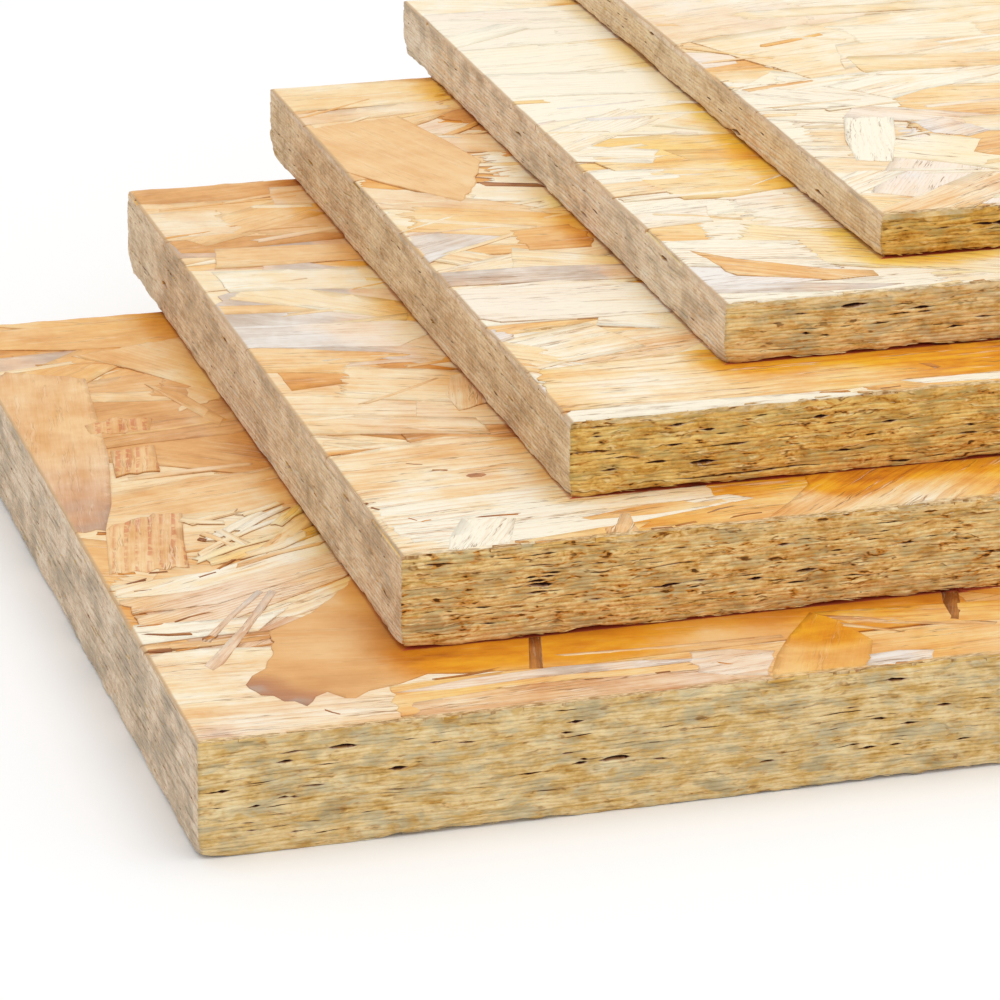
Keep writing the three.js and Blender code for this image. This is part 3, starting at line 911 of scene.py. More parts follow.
class Band:
    """The four sawn edges as one band of pressed layers that runs round the panel."""

    def __init__(self, panel):
        self.panel = panel
        self.rng = np.random.default_rng(panel.seed)
        length, width = panel.length, panel.width
        self.sides = [length, width, length, width]
        starts = np.cumsum([0] + self.sides[:3])
        spacings = [FINE_COLUMN, COARSE_COLUMN, COARSE_COLUMN, FINE_COLUMN]
        corners = [(0, 0), (length, 0), (length, width), (0, width)]
        courses = [(1, 0), (0, 1), (-1, 0), (0, -1)]
        inwards = [(0, 1), (-1, 0), (0, -1), (1, 0)]
        place, normal, along, side_of, start_of = [], [], [], [], []
        for side in range(4):
            steps = int(self.sides[side] / spacings[side])
            t = np.linspace(0, self.sides[side], steps, endpoint=False)
            place.append(np.array(corners[side]) + t[:, None] * np.array(courses[side]))
            inward = np.tile(np.array(inwards[side], float), (steps, 1))
            inward[0] += inwards[side - 1]
            normal.append(inward)
            along.append(t)
            side_of.append(np.full(steps, side))
            start_of.append(np.full(steps, starts[side]))
        self.place = np.concatenate(place)
        self.normal = np.concatenate(normal)
        self.along = np.concatenate(along)
        self.side = np.concatenate(side_of)
        self.lap = self.along + np.concatenate(start_of)
        self.around = sum(self.sides)
        self.columns = len(self.lap)

    def runs(self, lengths):
        """Numbers the strands that chance cuts a layer into, for every column.

        lengths gives their mean length on the front, right, back and left edges.
        """
        number = np.empty(self.columns, int)
        first = 0
        for side, mean in enumerate(lengths):
            here = self.side == side
            joints = [-self.rng.uniform(0, mean)]
            while joints[-1] < self.sides[side] + 1:
                joints.append(joints[-1] + mean * self.rng.uniform(0.4, 1.8))
            number[here] = np.searchsorted(joints, self.along[here], side="right") - 1 + first
            first += len(joints)
        return number

    def cracks(self, share):
        """How far the strands stand apart at a boundary, which lies at a share of the height."""
        rng = self.rng
        opening = np.zeros(self.columns)
        roughness = 0.7 + 0.5 * wander(rng, self.around, 1.1, self.lap)
        per_metre = CORE_CRACKS if 0.2 < share < 0.8 else OUTER_CRACKS
        for side in range(4):
            here = self.side == side
            lengthways = 1.0 if side in (0, 2) else END_SCALE
            for _ in range(int(per_metre * self.sides[side] / 1000)):
                middle = rng.uniform(3, self.sides[side] - 3)
                long = (rng.gamma(2.2, 0.9) + 1.2) * lengthways
                wide = (rng.uniform(0.05, 0.25) + 0.45 * (rng.random() < 0.2)) * lengthways
                lens = np.clip(1 - ((self.along - middle) / (long / 2)) ** 2, 0, 1) * here
                opening = np.maximum(opening, wide * lens * roughness)
        return opening

    def torn(self, z, low, high):
        """How far the edge is rounded and torn back at a height, near its two arrises."""
        upper = np.clip(1 - (high - z) / 0.8, 0, 1)
        lower = np.clip(1 - (z - low) / 0.6, 0, 1)
        foot = np.clip(1 - (z - low) / CORNER_REACH, 0, 1) ** 2
        return 0.1 * upper + lower * (0.05 + 0.3 * self.ragged) + foot * self.corner

    def boundaries(self, low, high, layers):
        """Where the layers meet in every column: height, opening, and depth of the gap."""
        panel, rng = self.panel, self.rng
        heights = np.linspace(low, high, layers + 1)[:, None] * np.ones(self.columns)
        swing = np.where(self.side % 2, END_SWING, 1.0)
        foot = np.full(self.columns, FOOT)
        for high_by, length in FOOT_WAVES:
            foot += high_by * swing * wander(rng, self.around, length, self.lap)
            swing = 1.0
        sway = np.sin(np.linspace(0, np.pi, layers + 1))
        common = SWAY * wander(rng, self.around, SWAY_LENGTH, self.lap)
        opening = np.zeros((layers + 1, self.columns))
        for k in range(1, layers):
            heights[k] += sway[k] * common
            for high_by, length in LAYER_WAVES:
                heights[k] += high_by * wander(rng, self.around, length, self.lap)
            opening[k] = self.cracks(k / layers)
        heights[0] = np.clip(foot, 2 * WALL, heights[1] - LEAST_LAYER)
        hollow = SHALLOW + DEEPER * opening
        hollows = [(0, place, height, long, open_by, HOLLOW_DEPTH)
                   for place, height, long, open_by in HOLLOWS[panel.name]]
        uneven = 0.8 + 0.35 * wander(rng, self.around, 1.3, self.lap)
        for side, place, height, long, open_by, deep in hollows + cad_pockets(panel):
            here = self.side == side
            middle = np.argmin(np.where(here, np.abs(self.along - place), FAR_AWAY))
            k = 1 + int(np.argmin(np.abs(heights[1:-1, middle] - height)))
            lens = np.clip(1 - ((self.along - place) / (long / 2)) ** 2, 0, 1) * here
            opening[k] = np.maximum(opening[k], open_by * lens ** 0.7 * uneven)
            hollow[k] = np.maximum(hollow[k], deep * np.sqrt(lens))
        self.limit_openings(heights, opening)
        return heights, opening, hollow

    def build(self, material):
        """Makes the core: rows of points round the panel, two to a layer and one in each gap."""
        panel, rng = self.panel, self.rng
        low, high = SKIN["under"], panel.thickness - SKIN["top"]
        layers = int(round((high - low) / LAYER))
        self.ragged = smooth(1.6 * wander(rng, self.around, 9.0, self.lap) - 0.3)
        self.ragged += 0.3 * (1 + wander(rng, self.around, 2.0, self.lap))
        room = np.array(self.sides)[self.side]
        from_corner = np.minimum(self.along, room - self.along)
        self.corner = CORNER_WEAR * np.clip(1 - from_corner / CORNER_REACH, 0, 1) ** 2
        heights, opening, hollow = self.boundaries(low, high, layers)

        points, values = [], {"tone": [], "cool": [], "gap": []}
        solid_wood = np.zeros(self.columns)
        cool = np.full(self.columns, -panel.honey)
        brown = np.where(self.side % 2, panel.end_brown, panel.brown)

        def add_row(z, depth, tone, gap):
            """Adds one row of points at a height, so far in from the edge's own plane."""
            xy = self.place + self.normal * (depth + self.torn(z, low, high))[:, None]
            points.append(np.column_stack([xy, z]))
            for key, value in (("tone", tone), ("cool", cool), ("gap", gap)):
                values[key].append(value)

        for i in range(layers):
            crosswise = CROSSWISE[0] < (i + 0.5) / layers < CROSSWISE[1]
            long_sides, ends = (SHORT_RUN, LONG_RUN) if crosswise else (LONG_RUN, SHORT_RUN)
            number = self.runs((long_sides, ends, long_sides, ends))
            kinds = number.max() + 1
            tone = rng.uniform(0.0, 1.0, kinds)[number] + brown
            inset = 0.02 + 0.2 * rng.random(kinds)[number] ** 3
            inset += 0.05 * (1 + wander(rng, self.around, 1.7, self.lap))
            # The gap row's gap value sets how much painted shade the edge shader puts there.
            if i:
                add_row(heights[i], np.maximum(inset, last_inset) + hollow[i], tone,
                        np.clip(8 * opening[i], 0, 1))
            add_row(heights[i] + opening[i] / 2 + WALL, inset, tone, solid_wood)
            add_row(heights[i + 1] - opening[i + 1] / 2 - WALL, inset, tone, solid_wood)
            last_inset = inset

        rows = len(points)
        number = np.arange(rows * self.columns).reshape(rows, self.columns)
        beside = np.roll(number, -1, axis=1)
        quads = np.stack([number[:-1], beside[:-1], beside[1:], number[1:]], -1).reshape(-1, 4)
        faces = [tuple(q) for q in quads]
        flat = [False] * len(faces)
        faces += [tuple(number[0][::-1]), tuple(number[-1])]
        flat += [True, True]
        shape = Shape()
        shape.add(np.concatenate(points), faces, flat, [False] * len(faces),
                  **{key: np.concatenate(value) for key, value in values.items()})
        self.hanging_fibres(shape, heights[0])
        shape.piece(panel, "sawn_core", [material])

    def hanging_fibres(self, shape, foot):
        """Adds the short fibres that the saw left hanging along the front's lower arris."""
        rng = np.random.default_rng(self.panel.seed + 1)
        front = self.side == 0
        t = np.linspace(0, 1, FIBRE_STATIONS)
        ring = np.array([(0, -1), (1, 0), (0, 1), (-1, 0)])
        for start in np.arange(3, self.panel.length - 10, FIBRE_SPACING):
            x = start + rng.uniform(-1.5, 1.5) + rng.uniform(*FIBRE_LENGTH) * t
            radius = rng.uniform(*FIBRE_RADIUS)
            sag = rng.uniform(*FIBRE_SAG) * (t if rng.random() < 0.6 else 1 - t) ** 2
            z = np.interp(x, self.along[front], foot[front]) + rng.uniform(-0.05, 0.1) - sag
            z = np.maximum(z, 2 * radius)
            y = rng.uniform(*FIBRE_BEHIND) - 0.1 * np.sin(np.pi * t)
            middle = np.column_stack([x, y, z])
            width = radius * np.sin(np.pi * t[1:-1]) ** 0.6
            rings = middle[1:-1, None, :].repeat(4, axis=1)
            rings[:, :, 1:] += width[:, None, None] * ring
            points = np.concatenate([middle[:1], rings.reshape(-1, 3), middle[-1:]])
            last = len(points) - 1
            faces = [(0, 1 + k, 1 + (k + 1) % 4) for k in range(4)]
            for first in range(1, last - 4, 4):
                faces += [(first + k, first + 4 + k, first + 4 + (k + 1) % 4, first + (k + 1) % 4)
                          for k in range(4)]
            faces += [(last - 4 + k, last, last - 4 + (k + 1) % 4) for k in range(4)]
            shape.add(points, faces, [False] * len(faces), [False] * len(faces),
                      tone=rng.uniform(-2.5, 0.5), cool=-self.panel.honey)

    @staticmethod
    def limit_openings(heights, opening):
        """Keeps every gap inside the strands on either side of it."""
        room = np.diff(heights, axis=0)
        least = np.minimum(room[:-1], room[1:])
        opening[1:-1] = np.minimum(opening[1:-1], 1.6 * least)
        taken = (opening[:-1] + opening[1:]) / 2
        kept = np.minimum(1, 0.85 * room / np.maximum(taken, 1e-6))
        opening[1:-1] *= np.minimum(kept[:-1], kept[1:])


# --- Materials -----------------------------------------------------------------------------
FACE_COLOURS = [(0.0, (252, 244, 222)), (0.2, (249, 227, 186)), (0.4, (243, 203, 148)),
                (0.6, (230, 175, 112)), (0.8, (204, 142, 78)), (1.0, (148, 94, 50))]
LONG_SIDE_COLOURS = [(0.0, (255, 242, 200)), (0.25, (250, 226, 174)), (0.5, (240, 209, 150)),
                     (0.65, (225, 187, 117)), (0.82, (192, 144, 68)), (1.0, (130, 82, 28))]
END_COLOURS = [(0.0, (248, 236, 216)), (0.35, (238, 216, 190)), (0.6, (218, 190, 160)),
               (1.0, (164, 130, 102))]
MILLIMETRES = 1000.0  # in the metre that object coordinates count in
RELIEF_STRENGTH = 0.5  # of both bumps
FACE_RELIEF = 0.0002  # metres
SAWN_RELIEF = 0.0003
FACE_SHINE, SAWN_SHINE = 0.3, 0.2


def new_group(name, inputs, outputs):
    """A shader node group with its sockets, and its input and output nodes."""
    group = bpy.data.node_groups.new(name, "ShaderNodeTree")
    for label, kind, default in inputs:
        socket = group.interface.new_socket(label, in_out="INPUT", socket_type=kind)
        if default is not None:
            socket.default_value = default
    for label, kind in outputs:
        group.interface.new_socket(label, in_out="OUTPUT", socket_type=kind)
    return group, group.nodes.new("NodeGroupInput"), group.nodes.new("NodeGroupOutput")


class Nodes:
    """Adds nodes to a tree and links them, so that a material reads from left to right."""

    def __init__(self, tree):
        self.tree = tree

    def add(self, kind, settings=None, **inputs):
        """A node with its inputs, each by name or, as _0 and so on, by number."""
        node = self.tree.nodes.new(kind)
        for key, value in (settings or {}).items():
            setattr(node, key, value)
        for key, value in inputs.items():
            self.plug(value, node.inputs[int(key[1:]) if key[0] == "_" else key])
        return node

    def plug(self, value, socket):
        """Links an output to a socket, or sets the socket to a plain value."""
        if isinstance(value, bpy.types.NodeSocket):
            self.tree.links.new(value, socket)
        else:
            socket.default_value = value

    def math(self, operation, a, b=0.0, c=0.0, clamp=False):
        """A calculation with up to three values."""
        settings = {"operation": operation, "use_clamp": clamp}
        return self.add("ShaderNodeMath", settings, _0=a, _1=b, _2=c).outputs[0]

    def noise(self, vector, scale, detail=2.0, roughness=0.5):
        """Smooth random values from 0 to 1."""
        node = self.add("ShaderNodeTexNoise", {"noise_dimensions": "3D"},
                        Vector=vector, Scale=scale, Detail=detail, Roughness=roughness)
        return node.outputs["Fac"]

    def stretch(self, vector, x, y, z):
        """A vector multiplied along each axis: small numbers draw a pattern out."""
        node = self.add("ShaderNodeVectorMath", {"operation": "MULTIPLY"}, _0=vector, _1=(x, y, z))
        return node.outputs[0]

    def remap(self, value, low, high, to_low=0.0, to_high=1.0):
        """Takes low and high to two other values, with soft ends, and stops there."""
        node = self.add("ShaderNodeMapRange", {"interpolation_type": "SMOOTHSTEP"},
                        _0=value, _1=low, _2=high, _3=to_low, _4=to_high)
        return node.outputs[0]

    def mix(self, factor, a, b, blend="MIX"):
        """Colour a where the factor is 0 and b, or its blend with a, where it is 1."""
        settings = {"data_type": "RGBA", "blend_type": blend}
        node = self.add("ShaderNodeMix", settings, _0=factor, _6=a, _7=b)
        return node.outputs[2]

    def ramp(self, factor, stops_and_colours):
        """A run of colours, each at its own stop."""
        node = self.add("ShaderNodeValToRGB", None, Fac=factor)
        elements = node.color_ramp.elements
        while len(elements) < len(stops_and_colours):
            elements.new(0.5)
        for element, (position, colour) in zip(elements, stops_and_colours):
            element.position = position
            element.color = linear(*colour)
        return node.outputs["Color"]

    def seen(self):
        """1 where the camera looks, also in a mirror or through glass, and 0 for other light."""
        path = self.add("ShaderNodeLightPath").outputs
        mirrored = self.math("MAXIMUM", path["Is Glossy Ray"], path["Is Transmission Ray"])
        return self.math("MAXIMUM", path["Is Camera Ray"], mirrored)

    def attribute(self, name, output="Fac"):
        """A value that the mesh carries at its points."""
        node = self.add("ShaderNodeAttribute", {"attribute_name": name})
        return node.outputs[output]


def strand_grain_group():
    """The figure of one strand: growth rings, fibres, pores and splits along its grain, and a painted
    highlight on the lip beside each split.
    """
    group, inp, out = new_group(
        "strand_grain",
        [("Grain", "NodeSocketVector", None), ("Ring Spacing", "NodeSocketFloat", 2.0),
         ("Wander", "NodeSocketFloat", 1.0)],
        [("Rings", "NodeSocketFloat"), ("Fibres", "NodeSocketFloat"), ("Pores", "NodeSocketFloat"),
         ("Splits", "NodeSocketFloat"), ("Split Highlights", "NodeSocketFloat"),
         ("Height", "NodeSocketFloat")])
    n = Nodes(group)
    grain = inp.outputs["Grain"]
    wave = n.noise(n.stretch(grain, 0.018, 0.05, 1.0), 1.0, 2.0)
    ripple = n.noise(n.stretch(grain, 0.12, 0.4, 1.0), 1.0, 2.0)
    parts = n.add("ShaderNodeSeparateXYZ", None, _0=grain)
    drift = n.math("MULTIPLY", n.math("SUBTRACT", wave, 0.5), 14.0)
    drift = n.math("MULTIPLY_ADD", n.math("SUBTRACT", ripple, 0.5), 2.2, drift)
    phase = n.math("MULTIPLY_ADD", drift, inp.outputs["Wander"], parts.outputs[1])
    saw = n.math("FRACT", n.math("DIVIDE", phase, inp.outputs["Ring Spacing"]))
    rings = n.math("MULTIPLY", n.math("POWER", saw, 3.0), n.remap(saw, 1.0, 0.9))
    showing = n.remap(n.noise(n.stretch(grain, 0.04, 0.15, 2.0), 1.0, 2.0), 0.4, 0.6, 0.2, 1.0)
    rings = n.math("MULTIPLY", rings, showing)
    fine = n.noise(n.stretch(grain, 0.12, 3.4, 1.0), 1.0, 3.0, 0.65)
    coarse = n.noise(n.stretch(grain, 0.05, 0.7, 1.0), 1.0, 2.0, 0.55)
    fibres = n.math("MULTIPLY_ADD", fine, 0.5, n.math("MULTIPLY", coarse, 0.5))
    pores = n.remap(n.noise(n.stretch(grain, 0.35, 4.2, 1.0), 1.0, 2.0, 0.5), 0.62, 0.72)
    curled = n.noise(n.stretch(grain, 0.2, 0.5, 4.0), 1.0, 2.0)
    bent = n.add("ShaderNodeCombineXYZ", None, Y=n.math("MULTIPLY", curled, 1.4)).outputs[0]
    bent = n.add("ShaderNodeVectorMath", {"operation": "ADD"}, _0=grain, _1=bent).outputs[0]
    seam = n.noise(n.stretch(bent, 0.03, 0.75, 1.0), 1.0, 3.0, 0.65)
    broken = n.remap(n.noise(n.stretch(grain, 0.07, 0.4, 1.0), 1.0, 2.0), 0.48, 0.6)
    splits = n.remap(n.math("ABSOLUTE", n.math("SUBTRACT", seam, 0.54)), 0.026, 0.0)
    splits = n.math("MULTIPLY", splits, broken)
    split_highlights = n.remap(n.math("ABSOLUTE", n.math("SUBTRACT", seam, 0.585)), 0.03, 0.0)
    split_highlights = n.math("MULTIPLY", split_highlights, broken)
    height = n.math("MULTIPLY_ADD", pores, -0.15, fibres)
    for name, value in (("Rings", rings), ("Fibres", fibres), ("Pores", pores),
                        ("Splits", splits), ("Split Highlights", split_highlights), ("Height", height)):
        n.plug(value, out.inputs[name])
    return group


def sawn_look_group():
    """Raw sawn strands: layers and flecks on the long edges, specks on the end edges.

    It follows the board's own place and the way each face looks, so that the strands' cut
    ends and the core between them read as one edge.
    """
    group, inp, out = new_group(
        "sawn_look",
        [("Tone", "NodeSocketFloat", 0.5), ("Cool", "NodeSocketFloat", 0.0),
         ("Gap", "NodeSocketFloat", 0.0), ("Crisp", "NodeSocketFloat", 1.0)],
        [("Color", "NodeSocketColor"), ("Height", "NodeSocketFloat")])
    n = Nodes(group)
    tone, cool, gap, crisp = (inp.outputs[name] for name in ("Tone", "Cool", "Gap", "Crisp"))
    geometry = n.add("ShaderNodeNewGeometry")
    facing = n.add("ShaderNodeSeparateXYZ", None, _0=geometry.outputs["True Normal"])
    end_side = n.math("GREATER_THAN", n.math("ABSOLUTE", facing.outputs[0]),
                      n.math("ABSOLUTE", facing.outputs[1]))
    object_place = n.add("ShaderNodeTexCoord").outputs["Object"]
    where = n.stretch(object_place, MILLIMETRES, MILLIMETRES, MILLIMETRES)
    at = n.add("ShaderNodeSeparateXYZ", None, _0=where)
    along = n.math("MULTIPLY_ADD", n.math("SUBTRACT", at.outputs[1], at.outputs[0]), end_side,
                   at.outputs[0])
    flat_place = n.add("ShaderNodeCombineXYZ", None, X=along, Y=at.outputs[2],
                       Z=n.math("MULTIPLY", end_side, 31.0)).outputs[0]
    bent = n.noise(n.stretch(flat_place, 0.07, 0.24, 1.0), 1.0, 2.0)
    curled = n.noise(n.stretch(flat_place, 0.3, 0.7, 1.0), 1.0, 2.0)
    shift = n.math("MULTIPLY_ADD", bent, 3.0, n.math("MULTIPLY", curled, 0.8))
    bend = n.add("ShaderNodeCombineXYZ", None, Y=shift).outputs[0]
    coords = n.add("ShaderNodeVectorMath", {"operation": "ADD"}, _0=flat_place, _1=bend).outputs[0]

    # Broad layers, zones of different wood, and the torn fibres that cover both.
    layers = n.noise(n.stretch(coords, 0.07, 0.9, 1.0), 1.0, 3.0, 0.6)
    clumps = n.noise(n.stretch(where, 0.45, 0.45, 0.8), 1.0, 3.0, 0.6)
    layers = n.math("MULTIPLY_ADD", n.math("SUBTRACT", clumps, layers),
                    n.math("MULTIPLY", end_side, 0.8), layers)
    zones = n.noise(n.stretch(coords, 0.16, 0.42, 1.0), 1.0, 3.0, 0.6)
    fibres = n.noise(n.stretch(coords, 0.45, 2.0, 1.0), 1.0, 3.0, 0.6)
    grit = n.noise(n.stretch(coords, 1.0, 1.7, 1.0), 1.0, 3.0, 0.65)
    specks = n.noise(n.stretch(where, 1.1, 1.1, 1.5), 1.0, 3.0, 0.7)
    torn = n.mix(end_side, n.mix(0.5, fibres, grit), specks)
    warm = n.math("MULTIPLY_ADD", tone, 0.1, n.math("MULTIPLY", layers, 0.9))
    mottled = n.noise(n.stretch(where, 0.09, 0.09, 0.16), 1.0, 3.0, 0.6)
    zones = n.math("MULTIPLY_ADD", n.math("SUBTRACT", mottled, zones),
                   n.math("MULTIPLY", end_side, 0.7), zones)
    warm = n.math("MULTIPLY_ADD", n.math("SUBTRACT", zones, 0.5),
                  n.math("MULTIPLY_ADD", crisp, 0.5, 0.9), warm)
    honeyed = n.math("MULTIPLY", cool, -1.0, clamp=True)
    rough = n.math("MULTIPLY", crisp, 1.55)
    rough = n.math("MULTIPLY_ADD", n.math("SUBTRACT", 0.75, rough), end_side, rough)
    warm = n.math("MULTIPLY_ADD", n.math("SUBTRACT", torn, 0.5), rough, warm)
    long_sides = n.ramp(warm, LONG_SIDE_COLOURS)
    ends = n.ramp(warm, END_COLOURS)
    base = n.mix(end_side, long_sides, ends)
    dull = n.noise(n.stretch(coords, 0.11, 0.34, 1.0), 1.0, 3.0, 0.65)
    dull = n.math("MULTIPLY_ADD", n.math("SUBTRACT", mottled, dull),
                  n.math("MULTIPLY", end_side, 0.6), dull)
    dull = n.math("MULTIPLY", n.remap(dull, 0.43, 0.64, 0.0, 0.85),
                  n.math("MULTIPLY_ADD", n.math("MULTIPLY", end_side, honeyed), -0.8, 1.0))
    dulled = n.mix(end_side, n.mix(zones, linear(240, 224, 184), linear(140, 124, 86)),
                   n.mix(zones, linear(224, 210, 188), linear(154, 137, 116)))
    base = n.mix(dull, base, dulled)
    golden = n.remap(n.noise(n.stretch(coords, 0.2, 0.5, 1.3), 1.0, 3.0, 0.65), 0.5, 0.66)
    golden = n.math("MULTIPLY", golden, n.math("MULTIPLY_ADD", end_side, -0.6, 0.7))
    base = n.mix(golden, base, n.mix(zones, linear(252, 216, 132), linear(168, 110, 30)))
    honey = n.mix(1.0, base, linear(252, 236, 184), "MULTIPLY")
    base = n.mix(n.math("MULTIPLY", honeyed, n.math("MULTIPLY_ADD", end_side, -0.65, 1.0)),
                 base, honey)

    # The dark lines between the strands, partly dark joints and partly painted shade under each
    # layer's step, each with a painted highlight on the lip of the strand under it.
    levels = n.noise(n.stretch(coords, 0.1, 0.5, 2.0), 1.0, 3.0, 0.6)
    up = n.add("ShaderNodeSeparateXYZ", None, _0=coords).outputs[1]
    step = n.math("FRACT", n.math("MULTIPLY_ADD", levels, 4.0, n.math("MULTIPLY", up, 0.7)))
    broken = n.remap(n.noise(n.stretch(coords, 0.17, 0.7, 3.0), 1.0, 3.0, 0.6), 0.5, 0.6)
    on_long_side = n.math("MULTIPLY", n.math("MULTIPLY_ADD", end_side, -0.8, 1.0), crisp)
    broken = n.math("MULTIPLY", broken, on_long_side)
    line = n.remap(n.math("ABSOLUTE", n.math("SUBTRACT", step, 0.5)), 0.15, 0.0)
    line = n.math("MULTIPLY", line, broken)
    painted_lip_highlight = n.remap(n.math("ABSOLUTE", n.math("SUBTRACT", step, 0.72)), 0.18, 0.0)
    painted_lip_highlight = n.math("MULTIPLY", painted_lip_highlight, broken)
    base = n.mix(n.math("MULTIPLY", painted_lip_highlight, 0.6), base, linear(255, 230, 172))
    base = n.mix(n.math("MULTIPLY", line, 0.65), base, linear(122, 74, 22))

    # Flecks and stained hollows in clusters, and small round holes on the end edges.
    clusters = n.remap(n.noise(n.stretch(where, 0.13, 0.13, 0.3), 1.0, 2.0, 0.5), 0.4, 0.62,
                       0.15, 1.0)
    lines = n.noise(n.stretch(coords, 0.34, 1.3, 1.0), 1.0, 2.0, 0.6)
    stained = n.math("MULTIPLY", n.remap(lines, 0.52, 0.6), clusters)
    stained = n.math("MULTIPLY", stained, n.math("MULTIPLY", on_long_side, 0.75))
    base = n.mix(stained, base, linear(210, 144, 58))
    flecks = n.math("MULTIPLY", n.remap(lines, 0.61, 0.67), clusters)
    flecks = n.math("MULTIPLY", flecks, on_long_side)
    base = n.mix(flecks, base, linear(98, 62, 22))
    dots = n.math("MULTIPLY", n.remap(specks, 0.67, 0.72), clusters)
    dots = n.math("MULTIPLY", dots, n.math("MULTIPLY_ADD", end_side, 0.6, 0.2))
    base = n.mix(dots, base, linear(92, 58, 36))
    # Painted shade in the gaps between layers: a red-brown fringe round each, and a near-black floor.
    base = n.mix(n.math("MULTIPLY", n.remap(gap, 0.0, 0.12), 0.7), base, linear(170, 98, 40))
    base = n.mix(n.remap(gap, 0.08, 0.3), base, linear(58, 26, 20))
    n.plug(base, out.inputs["Color"])
    n.plug(torn, out.inputs["Height"])
    return group


def new_material(name, roughness):
    """A material with its shader and a helper for its nodes."""
    material = bpy.data.materials.new(name)
    material.use_nodes = True
    shader = material.node_tree.nodes["Principled BSDF"]
    shader.inputs["Roughness"].default_value = roughness
    return material, shader, Nodes(material.node_tree)


def contact_shade_group():
    """Masks of painted shade near the panel above: a golden glow beside it, and a dark contact shadow
    under its edge.
    """
    group, inp, out = new_group(
        "contact_shade",
        [("Beside", "NodeSocketVector", None), ("Reach", "NodeSocketFloat", WARM_SHADE_REACH)],
        [("Golden Shade", "NodeSocketFloat"), ("Seam", "NodeSocketFloat")])
    n = Nodes(group)
    beside = inp.outputs["Beside"]
    parts = n.add("ShaderNodeSeparateXYZ", None, _0=beside)
    outside = n.add("ShaderNodeVectorMath", {"operation": "MAXIMUM"}, _0=beside, _1=(0, 0, -9999))
    flat = n.stretch(outside.outputs[0], 1.0, 1.0, 0.0)
    away = n.add("ShaderNodeVectorMath", {"operation": "LENGTH"}, _0=flat).outputs["Value"]
    uneven = n.noise(n.stretch(beside, 0.12, 0.12, 0.0), 1.0, 3.0, 0.6)
    honey = n.math("DIVIDE", away, n.math("MULTIPLY", inp.outputs["Reach"],
                                          n.math("MULTIPLY_ADD", uneven, 2.0, 0.1)))
    honey = n.remap(honey, 1.0, 0.0)
    ragged = n.noise(n.stretch(beside, 0.5, 0.5, 0.0), 1.0, 3.0, 0.7)
    reach = n.math("MAXIMUM", parts.outputs[0], parts.outputs[1])
    # Painted contact shadow under the panel above's edge, weaker beside its left side.
    seam = n.remap(n.math("MULTIPLY_ADD", ragged, -0.9, reach), -0.45, -0.85)
    beside_left = n.math("GREATER_THAN", parts.outputs[0], parts.outputs[1])
    seam = n.math("MULTIPLY", seam, n.math("MULTIPLY_ADD", beside_left, -0.65, 1.0))
    n.plug(honey, out.inputs["Golden Shade"])
    n.plug(seam, out.inputs["Seam"])
    return group


